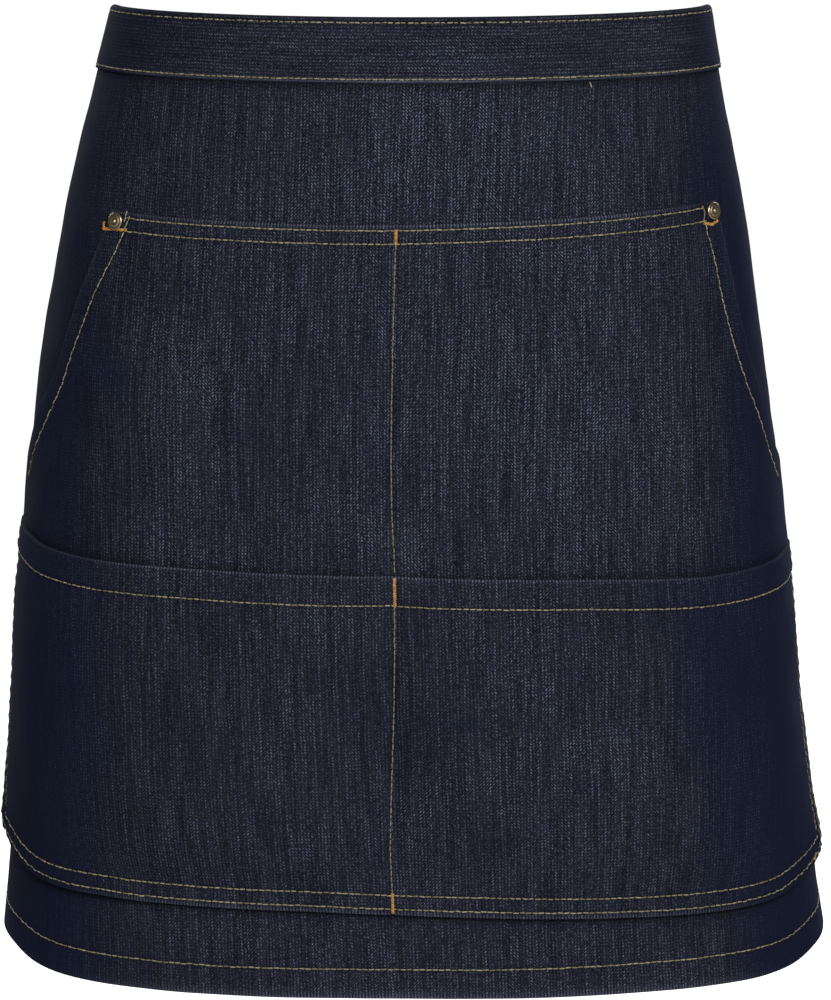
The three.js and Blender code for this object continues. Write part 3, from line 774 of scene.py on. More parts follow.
def lower_pocket_piece():
    """Patch pocket: rows run up behind the mouth's hem, over its fold and down to the foot."""
    seams = [side * (POCKET_HALF - inset) for side in (-1, 1) for inset in FOOT_STITCHES]
    columns = with_seams(spread(POCKET_HALF, 2.9), [CENTRE_SEAM_SHIFT] + seams)
    mouth, foot = lower_mouth(columns)[None, :], pocket_foot(columns)[None, :]
    radius = (2 * CLOTH + 0.3) / 2
    inside = mouth + np.linspace(LOWER_MOUTH_HEM - 0.5, 2.0, 6)[:, None]
    fold = mouth + radius - radius * np.sin(HALF_TURN)
    body_top, body_foot = mouth + 20.0, foot - 14.5
    body = body_top + np.linspace(0.0, 1.0, 52)[:, None] * (body_foot - body_top)
    face = np.concatenate((mouth + BELOW_MOUTH, body, foot - ABOVE_FOOT[:, None]))
    down = np.concatenate((inside, fold, face))
    across = np.broadcast_to(columns[None, :], down.shape)
    skin = lower_skin(across[-len(face):], face)
    mouth_lift = lower_lift(columns, mouth) - mouth_closing(columns, mouth) + CLOTH + HEM_FOLD
    fold_lift = mouth_lift - radius - radius * np.cos(HALF_TURN)
    inside_lift = np.broadcast_to(mouth_lift - 2 * radius, inside.shape)
    roll = edge_roll(foot - face, 1.3)
    under = skin - CLOTH - 0.7
    lift = np.concatenate((inside_lift, fold_lift, skin * roll + under * (1 - roll)))
    from_side = POCKET_HALF - np.abs(across)
    side_roll = edge_roll(from_side, 1.4)
    lift = lift * side_roll + 0.2 * (1 - side_roll)
    round_fold = mouth + radius - radius * (1 - HALF_TURN / math.pi) * 2
    path = np.concatenate((2 * mouth - inside, round_fold, face))
    behind_fold = 1 - smooth_share(HALF_TURN, 0.5 * math.pi, 0.75 * math.pi) + 0 * columns[None, :]
    from_edge = np.minimum(foot - face, from_side[-len(face):])
    from_centre = across[-len(face):] - centre_across(face)
    rows = [face - mouth - MOUTH_STITCH, from_centre] + [from_edge - inset for inset in FOOT_STITCHES]
    # Painted shade: in the stitched grooves, and all over the hem turned in behind the mouth and round the
    # back of its fold
    grooves = STITCHED_DARK * largest(*(painted_shade_bell(distance) for distance in rows))
    dark = np.concatenate((np.ones(inside.shape), behind_fold, grooves))
    bright = largest(2.0 * rubbed(down - mouth, 0.45), rubbed(foot - down), rubbed(from_side))
    values = {
        "wear_and_shade": wear_and_painted_shade(across, down) * LOWER_POCKET_WEAR,
        "edge": bright * (1 - 0.8 * dark),
        "dark": dark,
    }
    return cloth_piece("lower_pocket_cloth", across, down, lift, (across, -path), values, POCKET_WALL)


def strip_relief(edges, along):
    """Relief of a tie's strip: pressed in along the stitches of both edges, and rolled over them."""
    return 0.7 * pressed(edges - STRIP_STITCH, along) - 0.35 * (1 - edge_roll(edges, 1.0))


def strip_values(edges, across):
    """Wear of a tie's strip: even, and rubbed at its edges."""
    return {"wear_and_shade": STRIP_WEAR + 0 * across, "edge": rubbed(edges, 1.0) + 0 * across}


def tie_piece(name, sign):
    """Tie: a flat strip from inside the band's end round the back to the knot."""
    rows = np.linspace(0.0, TIE_WIDTH, 15)[:, None]
    share = np.linspace(0.0, 1.0, 70)[None, :]
    down = (BAND_HEIGHT - TIE_WIDTH) / 2 + rows + 0 * share
    start = PANEL_HALF + SEAM_GAP
    end = back_distance(down) - KNOT_WIDTH / 2 + 2.0
    along = share if sign > 0 else 1 - share
    across = sign * (start + along * (end - start))
    edges = np.minimum(rows, TIE_WIDTH - rows)
    puckers = 0.25 * np.sin(along * 23.0 + rows * 0.3) * smooth_share(along, 0.6, 1.0)
    lift = strip_relief(edges, across) + puckers
    return cloth_piece(name, across, down, lift, (down, across), strip_values(edges, across), POCKET_WALL)


def tail_piece(name, sign):
    """Tail: the tie's free end, hanging from the knot over the back in a shallow S."""
    fall_share = 1 - BACK_DROP / APRON_LENGTH
    knot_foot = BAND_TOP + (KNOT_HEIGHT / 2 - 3.0) / fall_share
    share = np.linspace(0.0, 1.0, 110)[:, None]
    width = np.linspace(0.0, 1.0, 15)[None, :]
    down = knot_foot + share * (TIE_TAIL + 3.0) + 0 * width
    inset = TAIL_GAP / 2 + TIE_SPREAD * share ** 1.3
    gather = 1 - 0.32 * np.exp(-share * 22.0)
    width_share = 0.5 + sign * (0.5 - width) * gather
    across = sign * (back_distance(down) - inset - width_share * TIE_WIDTH)
    edges = np.minimum(width, 1 - width) * TIE_WIDTH
    rise = TIE_LIFT + CREASE_RISE * np.sin(share * math.pi * 2) * share
    cup = 0.5 * np.sin(width * math.pi) * np.exp(-share * 6.0)
    lift = rise + CLOTH + cup + strip_relief(edges, down)
    return cloth_piece(name, across, down, lift, (across, -down), strip_values(edges, across), POCKET_WALL)


def knot_piece():
    """Knot: a rounded lump with the grooves of two strips wound over each other."""
    around = np.linspace(0.0, 2 * math.pi, KNOT_COLUMNS + 1)[None, :-1]
    rise = np.linspace(0.0, math.pi, KNOT_ROWS)[:, None]
    x = np.sin(rise) * np.cos(around)
    y = np.sin(rise) * np.sin(around)
    z = np.cos(rise) + 0 * around
    ball = np.stack((x, y, z), axis=-1)
    size = np.sum(np.abs(ball) ** KNOT_SQUARE, axis=-1, keepdims=True) ** (-1 / KNOT_SQUARE)
    ball = ball * size
    x, y, z = ball[..., 0], ball[..., 1], ball[..., 2]
    wound = np.abs(np.sin((z * 1.25 + x * 0.9) * 2.3))
    crossed = np.abs(np.sin((z * 0.8 - x * 1.3) * 1.6 + 0.6))
    groove = 1 - 0.16 * np.exp(-(wound / 0.16) ** 2) - 0.12 * np.exp(-(crossed / 0.14) ** 2)
    middle = worn(back_distance(BAND_TOP), BAND_TOP, -CLOTH / 2)
    half = np.array((KNOT_WIDTH, KNOT_DEPTH, KNOT_HEIGHT)) * MM / 2
    points = middle + ball * groove[..., None] * half
    faces = grid_faces(KNOT_ROWS, KNOT_COLUMNS, closed=True)
    flat = np.stack((z * half[2], x * half[0] + y * half[1]), axis=-1)
    values = {"wear_and_shade": STRIP_WEAR + 0 * x, "edge": 0 * x}
    piece = mesh_object("knot_cloth", points, faces[:, ::-1], flat, values)
    tidy_poles(piece)
    return piece


# Shader nodes
def set_inputs(tree, node, inputs):
    """Gives a node's inputs their values, or links them to other nodes' sockets."""
    for socket, value in inputs.items():
        if isinstance(value, bpy.types.NodeSocket):
            tree.links.new(value, node.inputs[socket])
        else:
            node.inputs[socket].default_value = value


def add_node(tree, kind, inputs=None, **settings):
    """Node with its settings and its inputs, each a value or another node's socket."""
    node = tree.nodes.new(kind)
    for name, value in settings.items():
        setattr(node, name, value)
    set_inputs(tree, node, inputs or {})
    return node


def maths(tree, operation, *values, clamp=False):
    """One Math node's result."""
    return add_node(tree, "ShaderNodeMath", dict(enumerate(values)), operation=operation,
                    use_clamp=clamp).outputs[0]


def ramp_between(tree, value, low, high):
    """Smooth share of a value between two limits."""
    return add_node(tree, "ShaderNodeMapRange", {0: value, 1: low, 2: high, 3: 0.0, 4: 1.0},
                    interpolation_type="SMOOTHSTEP").outputs[0]


def mixed(tree, share, first, second):
    """Colour between two colours."""
    return add_node(tree, "ShaderNodeMix", {0: share, 6: first, 7: second}, data_type="RGBA").outputs[2]


def own_value(tree, name):
    """A piece's own named value at each point."""
    return add_node(tree, "ShaderNodeAttribute", attribute_name=name).outputs["Fac"]


def bumped(tree, strength, distance, height):
    """Normal of a surface with a fine relief."""
    return add_node(tree, "ShaderNodeBump", {"Strength": strength, "Distance": distance,
                                             "Height": height}).outputs[0]


# Distance between the slanted lines of the weave and between its upright yarns, in millimetres
TWILL_PITCH = 1.66
YARN_PITCH = 1.66
# Noises of the weave: waves for each millimetre across and down, layer, detail
WEAVE_NOISES = {
    "wander": (0.06, 0.03, 1.0, 1.0),
    "slub": (0.5, 0.028, 2.0, 2.0),
    "broad": (0.16, 0.012, 3.0, 1.0),
    "hand": (0.11, 0.004, 4.0, 0.0),
    "thin": (0.8, 0.4, 5.0, 2.0),
    "nubs": (1.9, 1.2, 6.0, 0.0),
    "tint": (0.22, 0.15, 7.0, 2.0),
}


def weave_noise(tree, x, y, name):
    """One of the weave's noises at a flat place in millimetres; the layer keeps them unlike."""
    across, along, layer, detail = WEAVE_NOISES[name]
    place = {0: maths(tree, "MULTIPLY", x, across), 1: maths(tree, "MULTIPLY", y, along), 2: layer}
    place = add_node(tree, "ShaderNodeCombineXYZ", place).outputs[0]
    return add_node(tree, "ShaderNodeTexNoise", {"Vector": place, "Scale": 1.0, "Detail": detail,
                                                 "Roughness": 0.55}).outputs[0]


def denim_weave_group():
    """Broken twill: pale weft points on slanted lines that change hand from one strip to the next,
    thinned by noise and gathered in upright slubs. Puts out the pale share, tone, tint and height."""
    tree = bpy.data.node_groups.new("denim_weave", "ShaderNodeTree")
    tree.interface.new_socket(name="Cloth", in_out="INPUT", socket_type="NodeSocketVector")
    for name in ("Flecks", "Edge", "Streaks"):
        tree.interface.new_socket(name=name, in_out="INPUT", socket_type="NodeSocketFloat")
    for name in ("Pale", "Tone", "Tint", "Height"):
        tree.interface.new_socket(name=name, in_out="OUTPUT", socket_type="NodeSocketFloat")
    source = tree.nodes.new("NodeGroupInput")
    target = tree.nodes.new("NodeGroupOutput")
    step = partial(maths, tree)
    between = partial(ramp_between, tree)
    flat = add_node(tree, "ShaderNodeSeparateXYZ", {0: source.outputs["Cloth"]})
    x = step("MULTIPLY", flat.outputs[0], 1 / MM)
    y = step("MULTIPLY", flat.outputs[1], 1 / MM)
    x = step("ADD", x, step("MULTIPLY", weave_noise(tree, x, y, "wander"), 1.2))
    slub, broad, hand, thin, nubs, tint = (
        weave_noise(tree, x, y, name) for name in ("slub", "broad", "hand", "thin", "nubs", "tint"))
    slant = step("MULTIPLY_ADD", x, step("SIGN", step("SUBTRACT", hand, 0.5)), y)
    twill = step("SINE", step("MULTIPLY", slant, 2 * math.pi / TWILL_PITCH))
    twill = step("MULTIPLY_ADD", twill, 0.5, 0.5)
    yarn = step("SINE", step("MULTIPLY", x, 2 * math.pi / YARN_PITCH))
    yarn = step("MULTIPLY_ADD", yarn, 0.5, 0.5)
    points = step("MULTIPLY", twill, step("MULTIPLY_ADD", yarn, 0.75, 0.25))
    points = step("MULTIPLY", between(points, 0.3, 0.85), between(thin, 0.34, 0.7))
    gather = step("SUBTRACT", between(slub, 0.36, 0.68), 0.45)
    gather = step("MULTIPLY", gather, source.outputs["Streaks"])
    pale = step("MULTIPLY", points, step("MULTIPLY_ADD", gather, 1.45, 0.8))
    pale = step("ADD", pale, step("MULTIPLY", between(nubs, 0.62, 0.8), 0.4))
    pale = step("MULTIPLY", pale, source.outputs["Flecks"])
    dots = step("MULTIPLY_ADD", between(yarn, 0.35, 0.9), 0.85, 0.15)
    edge = step("MULTIPLY", dots, source.outputs["Edge"])
    height = step("ADD", step("MULTIPLY", twill, 0.55), step("MULTIPLY", yarn, 0.25))
    set_inputs(tree, target, {
        "Pale": step("MULTIPLY_ADD", edge, 0.85, pale, clamp=True),
        "Tone": step("ADD", step("MULTIPLY", slub, 0.55), step("MULTIPLY", broad, 0.45)),
        "Tint": tint,
        "Height": step("ADD", height, step("MULTIPLY", slub, 0.7)),
    })
    return tree


def new_material(name, roughness, specular):
    """Material with its node tree and its Principled shader."""
    material = bpy.data.materials.new(name)
    material.use_nodes = True
    tree = material.node_tree
    shader = tree.nodes["Principled BSDF"]
    set_inputs(tree, shader, {"Roughness": roughness, "Specular IOR Level": specular})
    return material, tree, shader


def denim_material(name, weave, colours, strength, streaks):
    """Denim: dark and lighter yarns by tone, warmer patches, plainer where unworn or in the painted shade
    of the sides, pale weft points, and painted shade at seams, in grooves and under edges."""
    dark, middle, warm, plain, fleck, seam = colours
    material, tree, shader = new_material(name, 0.9, 0.12)
    step = partial(maths, tree)
    # Wear, with the painted shade of the sides and painted light and shade over the creases
    wear_and_shade = own_value(tree, "wear_and_shade")
    woven = add_node(tree, "ShaderNodeGroup", node_tree=weave)
    set_inputs(tree, woven, {
        "Cloth": add_node(tree, "ShaderNodeUVMap", uv_map="cloth").outputs[0],
        "Flecks": step("MULTIPLY", wear_and_shade, strength),
        "Edge": step("MULTIPLY", own_value(tree, "edge"), wear_and_shade),
        "Streaks": streaks,
    })
    pale = woven.outputs["Pale"]
    warmer = ramp_between(tree, woven.outputs["Tint"], 0.52, 0.72)
    # Plain cloth where unworn, and where painted shade darkens the sides
    unworn_or_side_shaded = step("SUBTRACT", 1.0, ramp_between(tree, wear_and_shade, 0.1, 0.7))
    colour = mixed(tree, ramp_between(tree, woven.outputs["Tone"], 0.34, 0.66), dark, middle)
    colour = mixed(tree, step("MULTIPLY", warmer, 0.4), colour, warm)
    colour = mixed(tree, step("MULTIPLY", unworn_or_side_shaded, 0.85), colour, plain)
    colour = mixed(tree, pale, colour, fleck)
    # Painted shade at seams, in grooves and under edges
    colour = mixed(tree, step("MULTIPLY", own_value(tree, "dark"), 0.8), colour, seam)
    set_inputs(tree, shader, {
        "Base Color": colour,
        "Roughness": step("MULTIPLY_ADD", pale, -0.12, 0.92),
        "Normal": bumped(tree, 0.5, 0.00022, woven.outputs["Height"]),
        "Sheen Weight": 0.04,
        "Sheen Roughness": 0.5,
        "Sheen Tint": (0.12, 0.2, 0.6, 1.0),
    })
    return material


def thread_material(name, light, deep):
    """Spun polyester thread: two shades by each stitch's own value, and the twist of its strands."""
    material, tree, shader = new_material(name, 0.55, 0.35)
    step = partial(maths, tree)
    flat = add_node(tree, "ShaderNodeUVMap", uv_map="cloth").outputs[0]
    place = add_node(tree, "ShaderNodeSeparateXYZ", {0: flat})
    turn = step("MULTIPLY", place.outputs[1], 2 * math.pi)
    twist = step("SINE", step("MULTIPLY_ADD", place.outputs[0], STRAND_TWIST, turn))
    strands = step("MULTIPLY_ADD", twist, 0.5, 0.5)
    grooves = step("MULTIPLY", step("SUBTRACT", 1.0, strands), 0.35)
    shadow = tuple(0.4 * part for part in deep[:3]) + (1.0,)
    set_inputs(tree, shader, {
        "Base Color": mixed(tree, grooves, mixed(tree, own_value(tree, "shade"), deep, light), shadow),
        "Normal": bumped(tree, 0.6, 0.00012, strands),
    })
    return material


def brass_material():
    """Antique brass: bright where rubbed, brown in the grooves, with fine scratches and pits."""
    material, tree, shader = new_material("aged_brass", 0.5, 0.5)
    place = add_node(tree, "ShaderNodeTexCoord").outputs["Object"]
    mottle, fine = (
        add_node(tree, "ShaderNodeTexNoise", {"Vector": place, "Scale": scale, "Detail": detail}).outputs[0]
        for scale, detail in (MOTTLE_NOISE, SCRATCH_NOISE))
    mottle = maths(tree, "MULTIPLY_ADD", mottle, 0.5, -0.25)
    share = maths(tree, "ADD", own_value(tree, "rubbed"), mottle, clamp=True)
    set_inputs(tree, shader, {
        "Base Color": mixed(tree, share, BRASS_GROOVE, BRASS_RUBBED),
        "Roughness": maths(tree, "MULTIPLY_ADD", share, -0.3, 0.62),
        "Metallic": 1.0,
        "Normal": bumped(tree, 0.35, 0.00008, fine),
    })
    return material


# Stitches, in millimetres
STITCH_PITCH = 3.25
STITCH_LENGTH = 3.2
THREAD_RADIUS = 0.39
TACK_PITCH = 0.5
TACK_WIDTH = 1.7
TACK_RADIUS = 0.3
TACK_RISE = 0.42
TACK_LEAN = 0.22
STITCH_SIDES = 6
# A stitch's rings: share of its half length, girth
STITCH_RINGS = np.array([(-1.0, 0.45), (-0.8, 0.85), (-0.4, 1.0), (0.4, 1.0), (0.8, 0.85), (1.0, 0.45)])
# Twist of the strands: radians for each metre of thread
STRAND_TWIST = 9000.0


def stitch_shape():
    """One stitch as a tapering tube along its length, with its ends bent down into the cloth."""
    along, girth = STITCH_RINGS.T
    turn = np.arange(STITCH_SIDES) * 2 * math.pi / STITCH_SIDES
    rings = np.stack((np.repeat(along, STITCH_SIDES), np.outer(girth, np.cos(turn)).ravel(),
                      np.outer(girth, np.sin(turn)).ravel()), axis=-1)
    sink = 0.85 * rings[:, 0] ** 6
    quads = grid_faces(len(along), STITCH_SIDES, closed=True)[:, [0, 3, 2, 1]]
    first = np.arange(STITCH_SIDES)
    return rings, sink, quads, (first[::-1], first + len(rings) - STITCH_SIDES)


def threads(name, laid, half_length, radius, shade, material):
    """Many short threads in one mesh: the same shape, laid along each heading at each middle."""
    middles, headings, outs = laid
    rings, sink, quads, caps = stitch_shape()
    asides = np.cross(outs, headings)
    length = rings[None, :, 0] * half_length[:, None]
    rise = rings[None, :, 2:3] * 0.8 - sink[None, :, None]
    points = middles[:, None, :] + MM * (
        headings[:, None, :] * length[..., None]
        + asides[:, None, :] * rings[None, :, 1:2] * radius
        + outs[:, None, :] * rise * radius)
    size = len(rings)
    starts = (np.arange(len(middles)) * size)[:, None]
    faces = (quads[None] + starts[..., None]).reshape(-1, 4).tolist()
    for cap in caps:
        faces += (cap[None, :] + starts).tolist()
    turn = np.tile(np.arange(STITCH_SIDES) / STITCH_SIDES, len(STITCH_RINGS))
    flat = np.stack(np.broadcast_arrays(length * MM, turn[None, :]), axis=-1)
    piece = mesh_object(name, points, faces, flat, {"shade": np.repeat(shade, size)})
    piece.data.materials.append(material)
    return piece


def unit(vectors):
    """Vectors made one long."""
    return vectors / np.linalg.norm(vectors, axis=-1, keepdims=True)


def laid_out(path, skin, pitch):
    """Evenly spaced middles along a flat path on a skin, with their headings and outward directions."""
    steps = np.hypot(*np.diff(path, axis=0).T)
    length = np.concatenate(([0.0], np.cumsum(steps)))
    places = np.arange(0.5 * pitch, length[-1] - 0.3 * pitch, pitch)

    def flat_at(distance):
        """Flat places at distances along the path."""
        return np.interp(distance, length, path[:, 0]), np.interp(distance, length, path[:, 1])

    def skin_at(distance):
        """Places on the skin at distances along the path."""
        flat = flat_at(distance)
        return worn(*flat, skin(*flat))

    heading = unit(skin_at(places + 0.8) - skin_at(places - 0.8))
    out = worn(*flat_at(places), 3.0) - worn(*flat_at(places), 0.0)
    out = unit(out - np.sum(out * heading, axis=-1, keepdims=True) * heading)
    return skin_at(places), heading, out


def stitched(name, skin, rows, material, seed):
    """Rows of topstitching on a skin, in one mesh, each with how bright its thread is at most: every
    stitch is a little off in length, side and heading."""
    laid = [laid_out(path, skin, STITCH_PITCH) for path, _ in rows]
    glow = np.concatenate([np.full(len(part[0]), row[1]) for part, row in zip(laid, rows)])
    middles, headings, outs = (np.concatenate(part) for part in zip(*laid))
    rng = np.random.default_rng(seed)
    count = len(middles)
    asides = np.cross(outs, headings)
    headings = unit(headings + asides * rng.normal(0.0, 0.035, (count, 1)))
    middles = middles + asides * rng.normal(0.0, 0.07, (count, 1)) * MM + outs * THREAD_RADIUS * 0.55 * MM
    half = STITCH_LENGTH / 2 * rng.uniform(0.92, 1.04, count)
    shade = rng.uniform(0.0, 1.0, count) * glow
    return threads(name, (middles, headings, outs), half, THREAD_RADIUS, shade, material)


def bar_tacks(name, tacks, material, seed):
    """Bar tacks in one mesh: close threads laid across each bar, leaning a little by turns."""
    laid = [laid_out(np.array(path), skin, TACK_PITCH) for path, skin in tacks]
    middles, headings, outs = (np.concatenate(part) for part in zip(*laid))
    count = len(middles)
    rng = np.random.default_rng(seed)
    asides = np.cross(outs, headings)
    by_turns = np.where(np.arange(count) % 2 == 0, TACK_LEAN, -TACK_LEAN)[:, None]
    across = unit(asides + headings * (by_turns + rng.normal(0.0, 0.06, (count, 1))))
    middles = middles + outs * (TACK_RISE + rng.normal(0.0, 0.03, (count, 1))) * MM
    half = TACK_WIDTH / 2 * rng.uniform(0.88, 1.08, count)
    shade = rng.uniform(0.0, 1.0, count)
    return threads(name, (middles, across, outs), half, TACK_RADIUS, shade, material)


def across_path(start, end, row, count=160):
    """Flat path that runs across the apron along a row given as a function."""
    across = np.linspace(start, end, count)
    return np.stack((across, row(across)), axis=-1)


def down_path(start, end, column):
    """Flat path that runs down the apron along a column given as a function."""
    down = np.linspace(start, end, 120)
    return np.stack((column(down), down), axis=-1)


def straight(place):
    """Row or column that stays at one place."""
    return lambda along: 0 * along + place


def below(edge, distance):
    """Row at a distance below an edge, or above it where the distance is negative."""
    return lambda across: edge(across) + distance


def corner_skin(across, down):
    """Lift under the left bar tack: the upper pocket's, falling to the panel's past its corner."""
    edge = -opening_reach(1, down)
    return upper_skin(across, down) * smooth_share(across, edge - 3.0, edge + 0.5)


# Rivets: lean to the front, points round, and the profile: from the axis, out, rubbed share
RIVET_LEAN = 0.25
RIVET_POINTS = 56
RIVET_PROFILE = np.array([
    (0.0, 0.02, 0.2), (3.6, 0.02, 0.2), (4.2, 0.1, 0.2), (4.46, 0.45, 0.5), (4.5, 0.8, 0.75),
    (4.36, 1.15, 1.0), (4.05, 1.38, 0.95), (3.7, 1.36, 0.6), (3.45, 1.22, 0.15), (3.2, 1.3, 0.2),
    (2.9, 1.55, 0.6), (2.4, 1.78, 0.8), (1.95, 1.84, 0.6), (1.7, 1.72, 0.25), (1.35, 1.66, 0.15),
    (1.05, 1.78, 0.4), (0.85, 2.1, 0.8), (0.55, 2.32, 1.0), (0.0, 2.38, 1.0),
])


def rivet_piece(name, column, sign, material):
    """Rivet: a lathe profile of rim, groove, dished ring and nub, standing on the pocket's corner
    and leaning a little to the front."""
    radius = RIVET_DIAMETER / 2
    across = sign * (opening_reach(column, np.array(UPPER_POCKET_TOP)) - RIVET_INSET)
    down = upper_top(across) + RIVET_FALL
    lift = upper_lift(across, down) + CLOTH + SEAM_GAP * 0.5
    base = worn(across, down, lift)
    sideways = worn(across + radius, down, lift) - base
    downward = worn(across, down + radius, lift) - base
    out = unit(np.cross(sideways, downward))
    out = out * np.sign(np.dot(out, worn(across, down, lift + 2.0) - base))
    out = unit(out + np.array((0.0, -RIVET_LEAN, 0.0)))
    side = unit(sideways - np.dot(sideways, out) * out)
    up = np.cross(out, side)
    turn = (np.arange(RIVET_POINTS) * 2 * math.pi / RIVET_POINTS)[:, None]
    ring = np.cos(turn) * side + np.sin(turn) * up
    profile = RIVET_PROFILE[:, None, :]
    points = base + (profile[..., 0:1] * ring[None] + profile[..., 1:2] * out) * MM
    faces = grid_faces(len(RIVET_PROFILE), RIVET_POINTS, closed=True)
    values = {"rubbed": np.repeat(RIVET_PROFILE[:, 2], RIVET_POINTS)}
    piece = mesh_object(name, points, faces, None, values)
    tidy_poles(piece)
    piece.data.materials.append(material)
    return piece


# Colours of the denim: dark yarn, lighter yarn, warm patch, plain cloth (also the sides' painted shade),
# pale fleck, painted shadow at seams and under edges
DENIM_FACE = (
    (0.0054, 0.0068, 0.0142, 1.0),
    (0.0118, 0.0142, 0.0265, 1.0),
    (0.0135, 0.0139, 0.0125, 1.0),
    (0.0054, 0.0083, 0.0262, 1.0),
    (0.162, 0.178, 0.246, 1.0),
    (0.0042, 0.004, 0.0045, 1.0),
)
DENIM_REVERSE = (
    (0.06, 0.068, 0.09, 1.0),
    (0.11, 0.12, 0.15, 1.0),
    (0.11, 0.11, 0.12, 1.0),
    (0.075, 0.085, 0.115, 1.0),
    (0.3, 0.31, 0.34, 1.0),
    (0.06, 0.065, 0.085, 1.0),
)
# Colours of the threads: light shade, deep shade
GOLD = ((0.47, 0.415, 0.27, 1.0), (0.21, 0.18, 0.105, 1.0))
ORANGE = ((0.82, 0.44, 0.11, 1.0), (0.46, 0.21, 0.04, 1.0))
BRASS_GROOVE = (0.13, 0.1, 0.065, 1.0)
BRASS_RUBBED = (0.66, 0.54, 0.34, 1.0)
# Noises of the brass: waves for each metre, detail
MOTTLE_NOISE = (900.0, 4.0)
SCRATCH_NOISE = (4200.0, 2.0)

weave = denim_weave_group()
panel_denim = denim_material("denim_panel", weave, DENIM_FACE, 0.85, 0.8)
pocket_denim = denim_material("denim_pocket", weave, DENIM_FACE, 1.0, 0.8)
band_denim = denim_material("denim_band", weave, DENIM_FACE, 1.0, 0.5)
reverse_denim = denim_material("denim_reverse", weave, DENIM_REVERSE, 1.0, 0.6)
gold_thread = thread_material("gold_thread", *GOLD)
orange_thread = thread_material("orange_thread", *ORANGE)
brass = brass_material()


# The apron
def dress(piece, material=None, replaced=None):
    """Rides a piece on the apron, gives it a material, and hides the solid that it replaces."""
    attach(piece, "root")
    if material is not None:
        piece.data.materials.append(material)
    if replaced is not None:
        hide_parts(replaced)
    return piece


panel_cloth = dress(panel_piece(), panel_denim, "main_panel")
panel_cloth.data.materials.append(reverse_denim)
panel_cloth.modifiers["wall"].material_offset = 1
band_cloth = dress(band_piece(), band_denim, "waistband")
upper_cloth = dress(upper_pocket_piece(), pocket_denim, "upper_pocket")
lower_cloth = dress(lower_pocket_piece(), pocket_denim, "lower_pocket")
tie_left = dress(tie_piece("tie_left_cloth", -1), band_denim, "tie_left")
tie_right = dress(tie_piece("tie_right_cloth", 1), band_denim, "tie_right")
dress(knot_piece(), band_denim, "tie_knot")
tail_left = dress(tail_piece("tail_left_cloth", -1), band_denim, "tail_left")
tail_right = dress(tail_piece("tail_right_cloth", 1), band_denim, "tail_right")

# Loose thread ends, as flat paths: below the band, and at the upper pocket's left and right corners
BAND_END = np.array([(94.0, 33.6), (95.2, 36.6)])
LEFT_END = np.array([(-148.6, 100.6), (-151.4, 107.6)])
RIGHT_END = np.array([(165.2, 100.8), (165.0, 107.4)])
# Brightness of the thread where its rows lie deep in a groove, held down as painted shade
CENTRE_GLOW = 0.25
POCKET_GLOW = 0.4

# Rows of topstitching: flat path, how bright its thread is at most
side_row = PANEL_HALF - SIDE_HEM_STITCH
band_reach = PANEL_HALF + BAND_OVERHANG - 1.5
panel_rows = [
    (across_path(-PANEL_HALF + 2, PANEL_HALF - 2, hem_row, 260), 1.0),
    (down_path(BAND_HEIGHT + 2, 488.0, straight(-side_row)), 1.0),
    (down_path(BAND_HEIGHT + 2, 488.0, straight(side_row)), 1.0),
    (BAND_END, 1.0),
]
band_rows = [
    (across_path(-band_reach, band_reach, straight(BAND_TOP_STITCH), 260), 1.0),
    (across_path(-band_reach, band_reach, straight(BAND_HEIGHT - BAND_STITCH), 260), 1.0),
]
upper_rows = [
    (across_path(-150.0, 165.0, below(upper_top, TOP_STITCH_OUTER)), 1.0),
    (across_path(-148.0, 166.6, below(upper_top, TOP_STITCH_INNER)), 1.0),
    (down_path(103.0, 247.0, partial(slant_across, 1)), 1.0),
    (down_path(102.0, 247.0, partial(slant_across, 2)), 1.0),
    (down_path(106.0, 279.0, centre_across), CENTRE_GLOW),
    (LEFT_END, 1.0),
    (RIGHT_END, 1.0),
]
mouth_row = across_path(-POCKET_HALF + 1, POCKET_HALF - 1, below(lower_mouth, MOUTH_STITCH), 240)
foot_rows = []
side_rows = []
for inset in FOOT_STITCHES:
    reach = POCKET_HALF - inset
    foot_rows.append((across_path(-reach, reach, below(pocket_foot, -inset), 240), 1.0))
    for place in (-reach, reach):
        top = float(lower_mouth(np.array(place))) + 2.0
        corner = float(pocket_foot(np.array(place))) - inset
        side_rows.append((down_path(top, corner, straight(place)), POCKET_GLOW))
centre_row = down_path(284.0, 453.0, centre_across)
lower_rows = [(mouth_row, 1.0)] + foot_rows + [(centre_row, POCKET_GLOW)] + side_rows

dress(stitched("panel_stitches", panel_skin, panel_rows, gold_thread, 31))
dress(stitched("band_stitches", band_skin, band_rows, gold_thread, 32))
dress(stitched("upper_pocket_stitches", upper_skin, upper_rows, gold_thread, 33))
dress(stitched("lower_pocket_stitches", lower_skin, lower_rows, gold_thread, 34))

# Bar tacks: flat path, the skin under it; the last is a loose end at the lower pocket's right corner
centre = float(centre_across(np.array(290.0)))
mouth = float(lower_mouth(np.array(centre)))
tacks = [
    (((centre, mouth + 1.0), (centre, mouth + MOUTH_STITCH + 0.8)), lower_skin),
    (((-4.1, 105.4), (-4.1, 113.2)), upper_skin),
    (((-9.6, 442.4), (-9.8, 453.2)), lower_skin),
    (((-166.2, 111.1), (-147.5, 110.4)), corner_skin),
    (((-165.6, 107.4), (-165.6, 110.6)), corner_skin),
    (((163.5, 107.9), (170.0, 109.2), (175.5, 107.5)), upper_skin),
    (((164.0, 99.4), (164.2, 101.2)), upper_skin),
    (((238.6, 443.4), (237.0, 447.0)), lower_skin),
]
dress(bar_tacks("bar_tacks", tacks, orange_thread, 41))
dress(rivet_piece("rivet_left_cap", 1, -1, brass), None, "rivet_left")
dress(rivet_piece("rivet_right_cap", 2, 1, brass), None, "rivet_right")


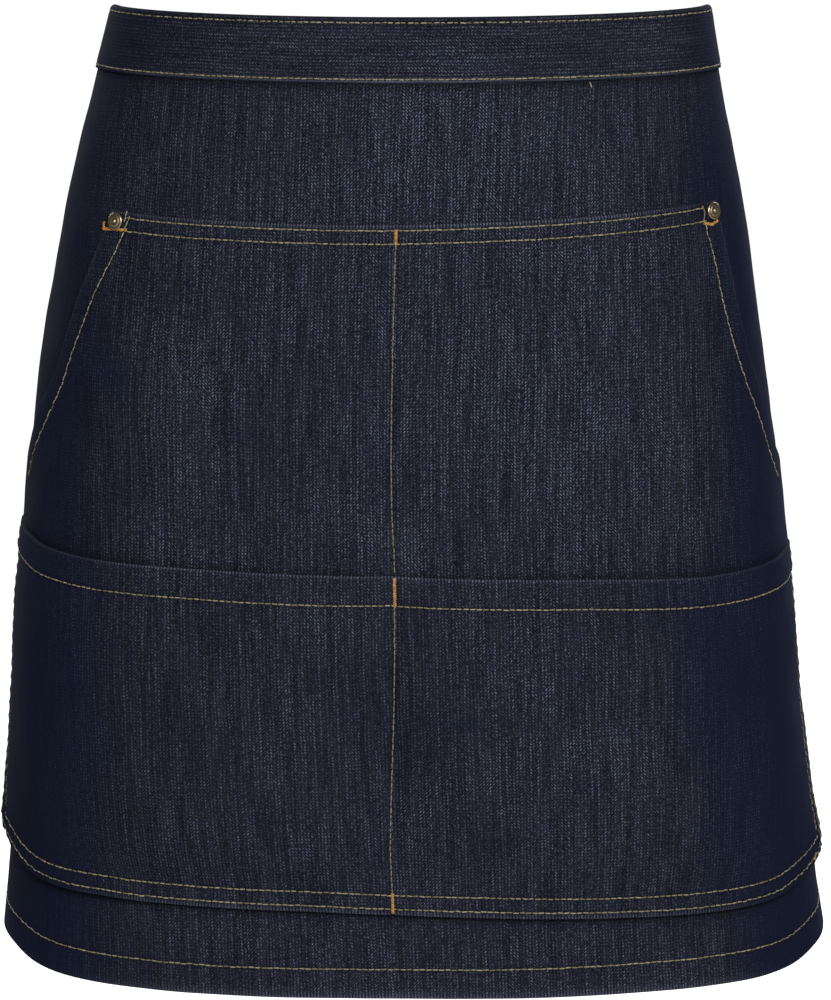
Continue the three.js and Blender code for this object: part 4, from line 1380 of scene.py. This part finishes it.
# Studio: a pale floor far below, a key light from the front and right, and soft fill
# Lights: name, place, the point it faces, size, power
LIGHTS = (
    ("key", (0.6, -2.7, 1.1), (0.02, 0.0, -0.22), 1.1, 66.0),
    ("fill", (-1.2, -2.6, 0.2), (0.0, 0.0, -0.2), 1.6, 5.0),
    ("back_left", (-1.5, 2.6, 0.9), (0.0, 0.0, -0.2), 1.4, 30.0),
    ("back_right", (1.2, 2.8, 0.9), (0.0, 0.0, -0.2), 1.4, 34.0),
)
# The pale floor, and how strongly the floor and the sky glow for the camera, and light the cloth
WHITE = (1.0, 1.0, 1.0, 1.0)
FLOOR_GREY = (0.6, 0.6, 0.6, 1.0)
FLOOR_DOWN = -1.0
FLOOR_HALF = 30.0
FLOOR_GLOW = (1.0, 0.0)
SKY_GLOW = (0.96, 0.06)


def area_light(name, place, target, size, power):
    """Square soft light that faces a point."""
    data = bpy.data.lights.new(name, "AREA")
    data.size = size
    data.energy = power
    light = bpy.data.objects.new(name, data)
    light.location = place
    light.rotation_euler = (Vector(target) - Vector(place)).to_track_quat("-Z", "Y").to_euler()
    bpy.context.scene.collection.objects.link(light)


def camera_glow(tree, seen, unseen):
    """Strength of a glow: unseen for the light that it gives, and seen more for camera rays."""
    ray = add_node(tree, "ShaderNodeLightPath").outputs["Is Camera Ray"]
    return maths(tree, "MULTIPLY_ADD", ray, seen, unseen)


for light in LIGHTS:
    area_light(*light)

floor_points = np.array([(-1, -1, 0), (1, -1, 0), (1, 1, 0), (-1, 1, 0)]) * FLOOR_HALF + (0, 0, FLOOR_DOWN)
floor = mesh_object("floor", floor_points, [(0, 1, 2, 3)])
floor_paint, floor_tree, floor_shader = new_material("floor_paint", 0.9, 0.1)
set_inputs(floor_tree, floor_shader, {
    "Base Color": FLOOR_GREY,
    "Emission Color": WHITE,
    "Emission Strength": camera_glow(floor_tree, *FLOOR_GLOW),
})
floor.data.materials.append(floor_paint)

world = bpy.data.worlds.new("studio")
world.use_nodes = True
set_inputs(world.node_tree, world.node_tree.nodes["Background"], {
    "Color": WHITE,
    "Strength": camera_glow(world.node_tree, *SKY_GLOW),
})
bpy.context.scene.world = world
bpy.context.scene.view_settings.view_transform = "Standard"
